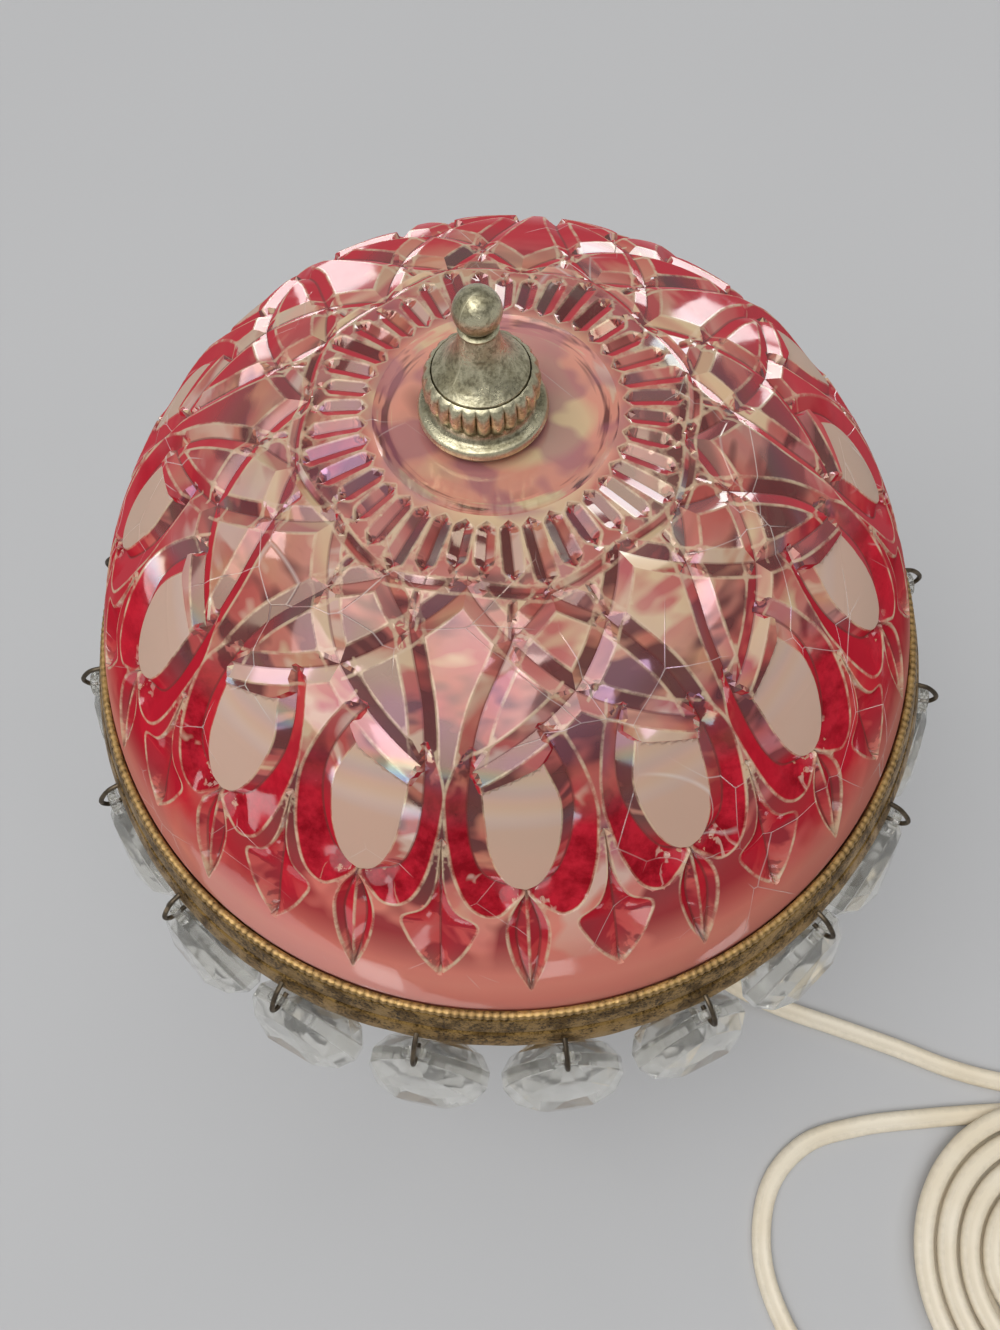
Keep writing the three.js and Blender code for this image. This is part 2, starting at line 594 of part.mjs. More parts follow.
// Base: cast drum with beads, an ogee cover, a pocket below and a hole for the cord
function makeBase() {
  const plinth = BASE_Z + PLINTH_HEIGHT;
  const ogee = eased([
    [BASE_RADIUS - 1.5, plinth + 2], [0.8 * BASE_RADIUS, plinth + 3.2],
    [0.55 * BASE_RADIUS, plinth + 5], [BASE_NECK + 2, plinth + 8], [BASE_NECK, BASE_TOP - 2.2],
  ], 5);
  const profile = [
    [PIPE_HOLE, BASE_Z + POCKET_DEPTH], [POCKET_RADIUS, BASE_Z + POCKET_DEPTH],
    [POCKET_RADIUS, BASE_Z], [BASE_RADIUS - 0.8, BASE_Z], [BASE_RADIUS, BASE_Z + 0.8],
    [BASE_RADIUS, plinth - 1.4], [BASE_RADIUS + 0.9, plinth - 0.2], [BASE_RADIUS, plinth + 1.3],
    ...ogee, [BASE_NECK + 1.3, BASE_TOP - 1.2], [BASE_NECK + 0.6, BASE_TOP], [PIPE_HOLE, BASE_TOP],
    [PIPE_HOLE, BASE_Z + POCKET_DEPTH],
  ];
  const bore = bar(CORD_BORE_RADIUS, BASE_RADIUS, 12).rotateZ(Math.PI / 2);
  bore.translate(BASE_RADIUS / 2 + 8, 0, CORD_BORE_HEIGHT);
  return cut(turned(profile, 28), [bore.rotateZ(THREE.MathUtils.degToRad(CORD_ANGLE))]);
}

function addColumn() {
  addPart('felt_pad', turned([
    [0, 0], [FELT_RADIUS, 0], [FELT_RADIUS, FELT_THICK], [0, FELT_THICK],
  ]), 'green_felt', stem);
  addPart('base', makeBase(), 'antique_brass', stem);
  const ceiling = BASE_Z + POCKET_DEPTH;
  const washer = ring(PIPE_HOLE, LOCK_WASHER_RADIUS, ceiling - SEAT - 1, ceiling - SEAT);
  addPart('lock_washer', washer, 'steel', stem);
  const nutTop = ceiling - 2 * SEAT - 1;
  const nut = cut(bar(NUT_FLATS / Math.sqrt(3), NUT_THICK, 6), [bar(PIPE_HOLE, 10, 24)]);
  nut.rotateX(Math.PI / 2).translate(0, 0, nutTop - NUT_THICK / 2);
  addPart('lock_nut', nut, 'steel', stem);
  const pipe = ring(PIPE_BORE, PIPE_RADIUS, nutTop - NUT_THICK - 0.6, CAP_Z + PIPE_IN_CAP);
  addPart('stem_pipe', pipe, 'bright_brass', stem);
  addPart('lower_cup', turned([
    [PIPE_HOLE, LOWER_CUP_Z], [LOWER_CUP_RADIUS - 0.6, LOWER_CUP_Z],
    [LOWER_CUP_RADIUS, LOWER_CUP_Z + 1], [LOWER_CUP_RADIUS - 1, LOWER_CUP_Z + 2],
    [LOWER_CUP_RADIUS - 3.5, LOWER_CUP_Z + 3.2], [LOWER_CUP_RADIUS - 5.5, LOWER_CUP_Z + 6],
    [LOWER_CUP_RADIUS - 4, LOWER_CUP_Z + 9],
    [LOWER_CUP_RADIUS - 2.5, LOWER_CUP_Z + LOWER_CUP_HEIGHT],
    [PIPE_HOLE, LOWER_CUP_Z + LOWER_CUP_HEIGHT], [PIPE_HOLE, LOWER_CUP_Z],
  ]), 'antique_brass', stem);
  addPart('column', turned([
    [PIPE_HOLE, COLUMN_Z], [LOWER_CUP_RADIUS - 4, COLUMN_Z],
    ...eased([
      [LOWER_CUP_RADIUS - 4.5, COLUMN_Z + 2], [COLUMN_BULGE, COLUMN_Z + 0.32 * COLUMN_HEIGHT],
      [COLUMN_WAIST, COLUMN_Z + 0.78 * COLUMN_HEIGHT],
      [UPPER_CUP_RADIUS - 3, COLUMN_Z + COLUMN_HEIGHT - 1],
    ], 9),
    [UPPER_CUP_RADIUS - 3.4, COLUMN_Z + COLUMN_HEIGHT], [PIPE_HOLE, COLUMN_Z + COLUMN_HEIGHT],
    [PIPE_HOLE, COLUMN_Z],
  ], COLUMN_PANELS), 'crystal', stem);
  addPart('upper_cup', turned([
    [PIPE_HOLE, UPPER_CUP_Z], [UPPER_CUP_RADIUS - 2.5, UPPER_CUP_Z],
    [UPPER_CUP_RADIUS, UPPER_CUP_Z + 2.2], [UPPER_CUP_RADIUS - 1, UPPER_CUP_Z + 3.4],
    [UPPER_CUP_RADIUS - 4.2, UPPER_CUP_Z + 5.4], [UPPER_CUP_RADIUS - 4.8, UPPER_CUP_Z + 8],
    [UPPER_CUP_RADIUS - 4.2, UPPER_CUP_Z + UPPER_CUP_HEIGHT],
    [PIPE_HOLE, UPPER_CUP_Z + UPPER_CUP_HEIGHT], [PIPE_HOLE, UPPER_CUP_Z],
  ]), 'antique_brass', stem);
}

// Lamp holder: brass cap and shell, liner, core, threaded shell, contact, turn switch
const CAP_INNER = SHELL_RADIUS + SEAT;
const SWITCH_Z = CORE_Z + 0.62 * CORE_HEIGHT;

function addLampHolder() {
  addPart('socket_cap', turned([
    [PIPE_HOLE, CAP_Z], [9, CAP_Z],
    [10.5, CAP_Z + 1.4], [14, CAP_Z + 4], [CAP_INNER + SHELL_GAUGE, CAP_Z + 9.4],
    [CAP_INNER + SHELL_GAUGE, CAP_Z + CAP_HEIGHT], [CAP_INNER, CAP_Z + CAP_HEIGHT],
    [CAP_INNER, CAP_Z + 10], [13, CAP_Z + 4.8], [9, CAP_Z + 2], [PIPE_HOLE, CAP_Z + 2],
    [PIPE_HOLE, CAP_Z],
  ]), 'bright_brass', stem);
  const switchHole = bar(SWITCH_SHAFT + SEAT, 30, 10).translate(0, 15, SWITCH_Z);
  const shell = ring(SHELL_RADIUS - SHELL_GAUGE, SHELL_RADIUS, SHELL_Z, SHELL_Z + SHELL_HEIGHT, 28);
  addPart('socket_shell', cut(shell, [switchHole]), 'bright_brass', stem);
  const linerOut = SHELL_RADIUS - SHELL_GAUGE - SEAT;
  const linerIn = linerOut - LINER_GAUGE;
  const liner = ring(linerIn, linerOut, SHELL_Z + 0.5, SHELL_Z + SHELL_HEIGHT - 1, 28);
  addPart('socket_liner', cut(liner, [switchHole]), 'fibre', stem);
  const coreHole = bar(SWITCH_SHAFT + FINE, 16, 12).translate(0, 14, SWITCH_Z);
  const core = turned([
    [0, CORE_Z], [linerIn - SEAT, CORE_Z], [linerIn - SEAT, CORE_Z + CORE_HEIGHT],
    [0, CORE_Z + CORE_HEIGHT],
  ], 28);
  addPart('socket_core', cut(core, [coreHole]), 'dark_plastic', stem);
  const screwIn = BULB_CAP_RADIUS + SEAT;
  const screw = ring(screwIn, screwIn + SCREW_GAUGE, SCREW_Z, SCREW_Z + SCREW_HEIGHT);
  addPart('screw_shell', screw, 'bright_brass', stem);
  const contact = turned([
    [0, SCREW_Z], [CONTACT_RADIUS, SCREW_Z], [CONTACT_RADIUS - 1, BULB_Z - SEAT],
    [0, BULB_Z - SEAT],
  ], 16);
  addPart('centre_contact', contact, 'bright_brass', stem);
  addPart('bulb_cap', turned([
    [0, BULB_Z], [CONTACT_RADIUS + 1, BULB_Z], [BULB_CAP_RADIUS - 3, BULB_Z + 2],
    [BULB_CAP_RADIUS, BULB_Z + 5], [BULB_CAP_RADIUS, BULB_Z + BULB_CAP_HEIGHT],
    [0, BULB_Z + BULB_CAP_HEIGHT],
  ]), 'steel', stem);
  addPart('bulb_glass', makeBulb(), 'opal_glass', stem);
}

// Bulb: pear shaped envelope, open at the neck where it is cemented to its cap
function makeBulb() {
  const low = BULB_Z + BULB_CAP_HEIGHT + SEAT;
  const outline = (gap) => eased([
    [BULB_CAP_RADIUS - 1 - gap, low], [BULB_CAP_RADIUS + 1 - gap, low + 0.17 * BULB_GLASS_HEIGHT],
    [BULB_RADIUS - gap, low + 0.56 * BULB_GLASS_HEIGHT],
    [0.72 * BULB_RADIUS - gap, low + 0.9 * BULB_GLASS_HEIGHT - gap],
    [0, low + BULB_GLASS_HEIGHT - gap],
  ], 6);
  return turned([...outline(0), ...outline(BULB_WALL).reverse(), outline(0)[0]], 18);
}

function addSwitch() {
  const knobStart = SWITCH_REACH - KNOB_LENGTH;
  const boreEnd = SWITCH_REACH - 3;
  const shaftStart = 6 + SEAT;
  const shaft = bar(SWITCH_SHAFT, boreEnd - SEAT - shaftStart, 12);
  shaft.translate(0, (boreEnd - SEAT + shaftStart) / 2, SWITCH_Z);
  addPart('switch_shaft', shaft, 'steel', stem);
  const outline = [
    [0, 0], [2.6, 0], [2.8, 2.4], [KNOB_RADIUS, 4.2], [KNOB_RADIUS, KNOB_LENGTH - 1],
    [KNOB_RADIUS - 1, KNOB_LENGTH], [0, KNOB_LENGTH],
  ];
  const segments = 2 * KNOB_RIBS;
  const rings = outline.slice(1, -1).map(([r, z], row) => {
    return Array.from({ length: segments }, (_, j) => {
      const angle = (2 * Math.PI * j) / segments;
      const reach = row > 1 && row < 4 && j % 2 ? r - 0.4 : r;
      return [reach * Math.cos(angle), reach * Math.sin(angle), z];
    });
  });
  const bore = bar(SWITCH_SHAFT + FINE, 2 * (boreEnd - knobStart), 12).rotateX(Math.PI / 2);
  const knob = cut(lofted(rings), [bore]).rotateX(-Math.PI / 2).translate(0, knobStart, SWITCH_Z);
  addPart('switch_knob', knob, 'dark_plastic', stem);
}

// Cord: an oval section swept flat along a route, as the two cores lie side by side
const CORD_REST = CORD_THICK / 2 + 0.1;
const LAYER_RISE = CORD_THICK + COIL_SPACE;
const TURN_SPACE = CORD_WIDTH + COIL_SPACE;
const TAIL_Z = CORD_REST + LAYER_RISE;

function cordSection() {
  const points = Array.from({ length: CORD_SIDES }, (_, i) => {
    const turn = (2 * Math.PI * (i + 0.5)) / CORD_SIDES;
    const stretch = 1 / Math.cos(Math.PI / CORD_SIDES);
    return new THREE.Vector2(
      (CORD_THICK / 2) * stretch * Math.cos(turn),
      (CORD_WIDTH / 2) * stretch * Math.sin(turn),
    );
  });
  return new THREE.Shape(points);
}

function sweptCord(points, steps) {
  const curve = new THREE.CatmullRomCurve3(points.map((p) => new THREE.Vector3(...p)));
  const geometry = new THREE.ExtrudeGeometry(cordSection(), { steps, extrudePath: curve });
  return { geometry, length: curve.getLength() };
}

// Way out of the base: a point at a distance from the stem's axis, in the shade's frame
const CORD_DIRECTION = THREE.MathUtils.degToRad(CORD_ANGLE);

function alongExit(distance, z) {
  return [distance * Math.cos(CORD_DIRECTION) - SHADE_SHIFT, distance * Math.sin(CORD_DIRECTION), z];
}

const BUSHING_END = BASE_RADIUS + BUSHING_TAPER;
const CORD_START = BUSHING_END + SEAT;

// Chosen route of the free cord: out of the base, round the coil, back past the shade
const CORD_ROUTE = [
  alongExit(CORD_START, CORD_BORE_HEIGHT), alongExit(CORD_START + 5, CORD_BORE_HEIGHT - 0.2),
  [66, -50, 4], [78, -55.5, 1.8], [92, -61, CORD_REST],
  [108, -67.5, CORD_REST], [124, -74.5, CORD_REST], [140, -79, CORD_REST],
  [156, -80, CORD_REST], [170, -84.6, CORD_REST], [182, -94, CORD_REST], [190, -109, CORD_REST],
  [192, -127.5, CORD_REST], [187.5, -147, CORD_REST], [176, -163, CORD_REST], [160, -173, CORD_REST],
  [140, -177, CORD_REST], [118, -175, CORD_REST], [97, -168, CORD_REST], [79, -156, CORD_REST],
  [67, -140, CORD_REST], [62, -121, CORD_REST], [66.5, -103, CORD_REST], [78, -92.5, CORD_REST],
  [94, -88.6, CORD_REST], [112, -87.3, CORD_REST], [128, -86.8, CORD_REST],
];

// Coil: spirals in on the table, climbs a layer in half a turn and spirals out again
function coilPath() {
  const [cx, cy] = COIL_CENTRE;
  const turns = 2 * COIL_TURNS + 0.5;
  const count = Math.round(turns * COIL_STEPS);
  const inner = COIL_RADIUS - TURN_SPACE * COIL_TURNS;
  const points = [];
  for (let i = 0; i <= count; i += 1) {
    const turn = (turns * i) / count;
    const climb = Math.min(1, Math.max(0, (turn - COIL_TURNS) / 0.5));
    const out = Math.max(0, turn - COIL_TURNS - 0.5);
    const wound = turn < COIL_TURNS ? COIL_RADIUS - TURN_SPACE * turn : inner + TURN_SPACE * out;
    const radius = wound - COIL_DIP * Math.sin(Math.PI * climb);
    const angle = Math.PI / 2 - 2 * Math.PI * turn;
    const lift = (1 - Math.cos(Math.PI * climb)) / 2;
    const z = CORD_REST + LAYER_RISE * lift;
    points.push([cx + radius * Math.cos(angle), cy + radius * Math.sin(angle), z]);
  }
  const y = cy + COIL_RADIUS;
  points.unshift([cx - CORD_WIDTH, y, CORD_REST]);
  points.push([cx + CORD_WIDTH, y, TAIL_Z]);
  return points;
}

function makeCoil(points) {
  const section = [[0, 1], [1, 0.5], [1, -0.5], [0, -1], [-1, -0.5], [-1, 0.5]];
  const last = points.length - 1;
  const rings = points.map((point, i) => {
    const before = points[Math.max(0, i - 1)];
    const after = points[Math.min(last, i + 1)];
    const flatEnd = i < 2 || i > last - 2;
    const way = flatEnd ? [1, 0] : [after[0] - before[0], after[1] - before[1]];
    const size = Math.hypot(...way);
    const side = [-way[1] / size, way[0] / size];
    return section.map(([up, across]) => [
      point[0] + (side[0] * across * CORD_WIDTH) / 2,
      point[1] + (side[1] * across * CORD_WIDTH) / 2,
      point[2] + (up * CORD_THICK) / 2,
    ]);
  });
  return lofted(rings);
}

// Least gap between two stretches of the coil that aren't neighbours along it, in plan and height
function selfGap(points) {
  let least = Infinity;
  const near = Math.round(COIL_STEPS / 3);
  for (let i = 0; i < points.length; i += 1) {
    for (let j = i + near; j < points.length; j += 1) {
      const plan = Math.hypot(points[i][0] - points[j][0], points[i][1] - points[j][1]) - CORD_WIDTH;
      const rise = Math.abs(points[i][2] - points[j][2]) - CORD_THICK;
      least = Math.min(least, Math.max(plan, rise));
    }
  }
  return least;
}

function pathLength(points) {
  return points.slice(1).reduce((sum, p, i) => {
    return sum + Math.hypot(p[0] - points[i][0], p[1] - points[i][1], p[2] - points[i][2]);
  }, 0);
}

function addCord() {
  const coil = coilPath();
  const coilStart = coil[0];
  const coilEnd = coil[coil.length - 1];
  const route = [...CORD_ROUTE, [coilStart[0] - SEAT, coilStart[1], coilStart[2]]];
  const free = sweptCord(route, 46);
  addPart('cord', free.geometry, 'ivory_plastic');
  addPart('cord_coil', makeCoil(coil), 'ivory_plastic');
  const tailStart = coilEnd[0] + SEAT;
  const tail = sweptCord([
    [tailStart, coilEnd[1], TAIL_Z], [tailStart + TAIL_LENGTH / 2, coilEnd[1], TAIL_Z],
    [tailStart + TAIL_LENGTH, coilEnd[1], TAIL_Z],
  ], 3);
  addPart('cord_tail', tail.geometry, 'ivory_plastic');
  addPlug(tailStart + TAIL_LENGTH + SEAT, coilEnd[1]);
  const total = free.length + pathLength(coil) + tail.length;
  console.log(`cord ${total.toFixed(0)} mm, coil's least gap to itself ${selfGap(coil).toFixed(2)} mm`);
}

// Plug: oval moulded body with a tapered neck, and two flat blades
function addPlug(x, y) {
  const sides = 16;
  const oval = (along, wide, deep) => Array.from({ length: sides }, (_, j) => {
    const turn = (2 * Math.PI * j) / sides;
    const round = (v) => Math.sign(v) * Math.abs(v) ** 0.7;
    return [x + along, y + wide * round(Math.cos(turn)), TAIL_Z + deep * round(Math.sin(turn))];
  });
  const body = lofted([
    oval(0, CORD_WIDTH / 2 + 0.8, 2), oval(PLUG_NECK, CORD_WIDTH / 2 + 2, 2.8),
    oval(PLUG_NECK + 4, 0.82 * PLUG_HALF_WIDTH, 0.8 * PLUG_HALF_DEPTH),
    oval(PLUG_NECK + 9, PLUG_HALF_WIDTH, PLUG_HALF_DEPTH),
    oval(PLUG_NECK + PLUG_LENGTH - 2, PLUG_HALF_WIDTH, PLUG_HALF_DEPTH),
    oval(PLUG_NECK + PLUG_LENGTH, PLUG_HALF_WIDTH - 1, PLUG_HALF_DEPTH - 1),
  ]);
  addPart('plug_body', body, 'ivory_plastic');
  const bladeX = x + PLUG_NECK + PLUG_LENGTH + SEAT + BLADE_LENGTH / 2;
  [['left', 1], ['right', -1]].forEach(([name, side]) => {
    const blade = new THREE.BoxGeometry(BLADE_LENGTH, BLADE_GAUGE, BLADE_WIDTH);
    blade.translate(bladeX, y + (side * BLADE_SPACING) / 2, TAIL_Z);
    addPart(`plug_blade_${name}`, blade, 'steel');
  });
}

// Strain relief in the base's side, and the cord's stretch inside the base and the pipe
function addBushing() {
  const boreEnd = BASE_RADIUS - 12;
  const bushing = turned([
    [0, boreEnd], [CORD_BORE_RADIUS - FINE, boreEnd], [CORD_BORE_RADIUS - FINE, BASE_RADIUS + SEAT],
    [CORD_BORE_RADIUS + 0.8, BASE_RADIUS + SEAT], [CORD_BORE_RADIUS + 0.8, BASE_RADIUS + 2],
    [CORD_BORE_RADIUS + 0.2, BASE_RADIUS + 3], [CORD_WIDTH / 2 + 0.35, BUSHING_END],
    [0, BUSHING_END],
  ], 16);
  bushing.rotateY(Math.PI / 2).translate(0, 0, CORD_BORE_HEIGHT).rotateZ(CORD_DIRECTION);
  addPart('cord_bushing', bushing, 'ivory_plastic', stem);
  const [c, s] = [Math.cos(CORD_DIRECTION), Math.sin(CORD_DIRECTION)];
  const inside = [
    [boreEnd - SEAT, CORD_BORE_HEIGHT], [POCKET_RADIUS + 4, CORD_BORE_HEIGHT],
    [5.2, CORD_BORE_HEIGHT + 0.5], [1.2, CORD_BORE_HEIGHT + 4], [0, CORD_BORE_HEIGHT + 10],
    [0, COLUMN_Z], [0, UPPER_CUP_Z], [0, CAP_Z + PIPE_IN_CAP + 1.5],
  ].map(([out, z]) => [out * c, out * s, z]);
  addPart('cord_in_stem', sweptCord(inside, 15).geometry, 'ivory_plastic', stem);
}

addShadeAssembly();
addFinial();
addHarp();
addColumn();
addLampHolder();
addSwitch();
addBushing();
addCord();

export default lamp;
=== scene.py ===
# %% [markdown]
# # Boudoir table lamp
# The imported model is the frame: every solid is already in place, in metres, on its body.
# This script dresses it: pressed glass, cut crystal, aged brass, cast metal and an ivory cord.
# The order is camera, mesh helpers, materials, the cord's route, each visible piece from the top down,
# and last the cord with its plug, the floor and the light.

# %%
import math

import bmesh
import bpy
import numpy as np
from mathutils import Matrix, Vector
from mathutils.geometry import delaunay_2d_cdt


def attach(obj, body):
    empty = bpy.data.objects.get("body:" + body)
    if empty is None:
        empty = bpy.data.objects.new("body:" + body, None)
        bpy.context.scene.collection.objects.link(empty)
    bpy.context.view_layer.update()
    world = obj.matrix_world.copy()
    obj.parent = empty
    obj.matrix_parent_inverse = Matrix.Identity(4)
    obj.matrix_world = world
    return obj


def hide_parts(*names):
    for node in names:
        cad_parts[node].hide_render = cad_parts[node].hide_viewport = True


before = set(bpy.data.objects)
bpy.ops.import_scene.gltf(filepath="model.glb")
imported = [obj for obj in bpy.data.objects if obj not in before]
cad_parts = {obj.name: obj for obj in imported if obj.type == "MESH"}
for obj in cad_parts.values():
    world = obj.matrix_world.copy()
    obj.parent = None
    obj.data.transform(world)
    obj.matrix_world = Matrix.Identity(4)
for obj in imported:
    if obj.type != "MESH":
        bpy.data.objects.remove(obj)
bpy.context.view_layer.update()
MM = 0.001

# %% [markdown]
# ## Sizes shared with the solids
# A dressed piece takes the place of its solid, so it keeps the same driving sizes.
# They are in millimetres, like a drawing, and become metres only when a mesh is built.

# %%
RIM_RADIUS = 75.0
RIM_Z = 165.0
DOME_RISE = 58.2
DOME_POWER = 3.4
DOME_ROUND = 0.8
STEM_X = -1.7


def dome_height(radius, reach=RIM_RADIUS, rise=DOME_RISE):
    """Height of the dome at a radius: rise * (1 - (radius / reach) ** power) ** round, above the rim."""
    flat = 1 - np.minimum(1, np.asarray(radius, float) / reach) ** DOME_POWER
    return RIM_Z + rise * flat**DOME_ROUND


# %% [markdown]
# ## Camera
# The rim of the shade is a true circle, so its outline in the picture gives the camera:
# 102 mm in front of the axis and 191 mm above the rim, looking 65 degrees down,
# with a slight turn and roll. The focal length is in pixels of a 1330 pixel high frame.

# %%
FRAME_HEIGHT = 1330
FOCAL_PIXELS = 1142.2
CAMERA_BACK, CAMERA_UP = 1.3647, 2.5518
YAW, PITCH, ROLL = -0.0159, 1.1361, -0.0628


def new_object(name, data):
    """An object that shows some data, linked into the scene."""
    made = bpy.data.objects.new(name, data)
    bpy.context.scene.collection.objects.link(made)
    return made


def make_camera():
    """The camera from its place and its three turns: yaw, pitch and roll."""
    data = bpy.data.cameras.new("camera")
    data.sensor_width = 36
    data.lens = FOCAL_PIXELS / FRAME_HEIGHT * data.sensor_width
    data.clip_start = 0.01
    camera = new_object("camera", data)
    ahead = np.array([math.sin(YAW) * math.cos(PITCH), math.cos(YAW) * math.cos(PITCH), -math.sin(PITCH)])
    level = np.array([math.cos(YAW), -math.sin(YAW), 0])
    upright = np.cross(level, ahead)
    right = level * math.cos(ROLL) + upright * math.sin(ROLL)
    up = upright * math.cos(ROLL) - level * math.sin(ROLL)
    place = np.array([0, -CAMERA_BACK * RIM_RADIUS, RIM_Z + CAMERA_UP * RIM_RADIUS]) * MM
    matrix = Matrix.Identity(4)
    for row in range(3):
        matrix[row] = (right[row], up[row], -ahead[row], place[row])
    camera.matrix_world = matrix
    bpy.context.scene.camera = camera
    print("camera", round(data.lens, 2), "mm lens at", np.round(place, 4))


make_camera()

# %% [markdown]
# ## Mesh helpers
# Surfaces come as numpy arrays of points and faces. A wall that turns round the axis is a grid:
# one row for each point of its profile and one column for each step of the turn.

# %%


def build(name, verts, *faces, crease=35, weld=False):
    """A mesh object from points in millimetres and arrays of triangles or quads.
    It is shaded smooth up to the crease angle."""
    mesh = bpy.data.meshes.new(name)
    sizes = np.concatenate([np.full(len(f), f.shape[1]) for f in faces])
    corners = np.concatenate([f.ravel() for f in faces]).astype(np.int32)
    mesh.vertices.add(len(verts))
    mesh.vertices.foreach_set("co", (np.asarray(verts) * MM).astype(np.float32).ravel())
    mesh.loops.add(len(corners))
    mesh.loops.foreach_set("vertex_index", corners)
    mesh.polygons.add(len(sizes))
    mesh.polygons.foreach_set("loop_start", np.concatenate([[0], np.cumsum(sizes)[:-1]]).astype(np.int32))
    mesh.update(calc_edges=True)
    if weld:
        welded(mesh)
    mesh.validate()
    mesh.shade_smooth()
    mesh.set_sharp_from_angle(angle=math.radians(crease))
    return new_object(name, mesh)


def welded(mesh, distance=1e-6):
    """Joins points that lie together, such as a pole's or a seam's, and drops faces that vanish."""
    work = bmesh.new()
    work.from_mesh(mesh)
    bmesh.ops.remove_doubles(work, verts=work.verts, dist=distance)
    bmesh.ops.dissolve_degenerate(work, edges=work.edges, dist=distance / 10)
    work.to_mesh(mesh)
    work.free()


def grid_faces(rows, columns, first=0):
    """Quads of a grid of rows by columns, the last column joined to the first."""
    i, j = np.meshgrid(np.arange(rows - 1), np.arange(columns), indexing="ij")
    a = first + i * columns + j
    b = first + i * columns + (j + 1) % columns
    return np.stack([a, b, b + columns, a + columns], -1).reshape(-1, 4)


def raised(profile, base):
    """The profile moved up by base."""
    return [(r, z + base) for r, z in profile]


def round_corners(profile, radius, steps=3):
    """The profile with each corner replaced by a short arc, as a die, a lathe or wear leaves it."""
    points = np.asarray(profile, float)
    out = [points[:1]]
    for before, corner, after in zip(points[:-2], points[1:-1], points[2:]):
        back, on = before - corner, after - corner
        reach = min(radius, 0.4 * np.hypot(*back), 0.4 * np.hypot(*on))
        start = corner + back / max(np.hypot(*back), 1e-9) * reach
        end = corner + on / max(np.hypot(*on), 1e-9) * reach
        t = np.linspace(0, 1, steps + 1)[:, None]
        out.append((1 - t) ** 2 * start + 2 * t * (1 - t) * corner + t**2 * end)
    return np.concatenate(out + [points[-1:]])


def polar(radius, angle, height, centre=(0, 0)):
    """Points at a radius, angle and height about a centre."""
    return np.stack([centre[0] + radius * np.cos(angle), centre[1] + radius * np.sin(angle), height], -1)


def revolve(name, profile, columns, centre=(STEM_X, 0), reach=None, crease=35):
    """A profile of (radius, height) turned about a centre.
    reach(angle, radius, height) may change radius and height from column to column."""
    profile = np.asarray(profile, float)
    angle = np.linspace(0, 2 * np.pi, columns, endpoint=False)
    r, z = np.meshgrid(profile[:, 0], angle, indexing="ij")[0], np.repeat(profile[:, 1:], columns, 1)
    if reach is not None:
        r, z = reach(np.broadcast_to(angle, r.shape), r, z)
    verts = polar(r, angle, z, centre).reshape(-1, 3)
    return build(name, verts, grid_faces(len(profile), columns), crease=crease, weld=True)


def centripetal(points, steps):
    """A smooth curve through the points, where every stretch between two of them gets as many steps.
    Its tangents weigh each stretch by the square root of its length, which keeps it from looping."""
    p = np.asarray(points, float)
    p = np.concatenate([[2 * p[0] - p[1]], p, [2 * p[-1] - p[-2]]])
    t = np.linspace(0, len(points) - 1, steps + 1)
    i = np.minimum(t.astype(int), len(points) - 2)
    w = (t - i)[:, None]
    p0, p1, p2, p3 = (p[i + k] for k in range(4))
    d = [np.maximum(np.linalg.norm(b - a, axis=1), 1e-9)[:, None] ** 0.5
         for a, b in ((p0, p1), (p1, p2), (p2, p3))]
    m1 = ((p1 - p0) / d[0] - (p2 - p0) / (d[0] + d[1]) + (p2 - p1) / d[1]) * d[1]
    m2 = ((p2 - p1) / d[1] - (p3 - p1) / (d[1] + d[2]) + (p3 - p2) / d[2]) * d[1]
    return ((2 * w**3 - 3 * w**2 + 1) * p1 + (w**3 - 2 * w**2 + w) * m1
            + (3 * w**2 - 2 * w**3) * p2 + (w**3 - w**2) * m2)


def evenly(line, gap):
    """The same line with its points about gap apart."""
    along = np.concatenate([[0], np.cumsum(np.linalg.norm(np.diff(line, axis=0), axis=1))])
    marks = np.linspace(0, along[-1], max(2, round(along[-1] / gap) + 1))
    return np.stack([np.interp(marks, along, values) for values in line.T], -1)


def tube(name, rings, start, end, crease):
    """Rings of points joined into a wall, and closed by fans round a start and an end point."""
    rows, count = rings.shape[:2]
    verts = np.concatenate([rings.reshape(-1, 3), [start, end]])
    last, ends = (rows - 1) * count, rows * count
    j = np.arange(count)
    nxt = (j + 1) % count
    start_cap = np.stack([np.full(count, ends), nxt, j], -1)
    end_cap = np.stack([np.full(count, ends + 1), last + j, last + nxt], -1)
    return build(name, verts, grid_faces(rows, count), np.concatenate([start_cap, end_cap]), crease=crease)


def sweep(name, line, section, crease=35, up=(0, 0, 1)):
    """A section of (across, above) points carried along a line and capped. Above stays nearest to up."""
    line, section = np.asarray(line, float), np.asarray(section, float)
    way = np.gradient(line, axis=0)
    way /= np.linalg.norm(way, axis=1)[:, None]
    across = np.cross(way, np.asarray(up, float))
    across /= np.linalg.norm(across, axis=1)[:, None]
    above = np.cross(across, way)
    rings = line[:, None] + across[:, None] * section[None, :, :1] + above[:, None] * section[None, :, 1:]
    return tube(name, rings, line[0], line[-1], crease)


def round_section(radius, sides):
    """The points of a circle, as a section for sweep."""
    turn = np.linspace(0, 2 * np.pi, sides, endpoint=False)
    return np.stack([radius * np.cos(turn), radius * np.sin(turn)], -1)
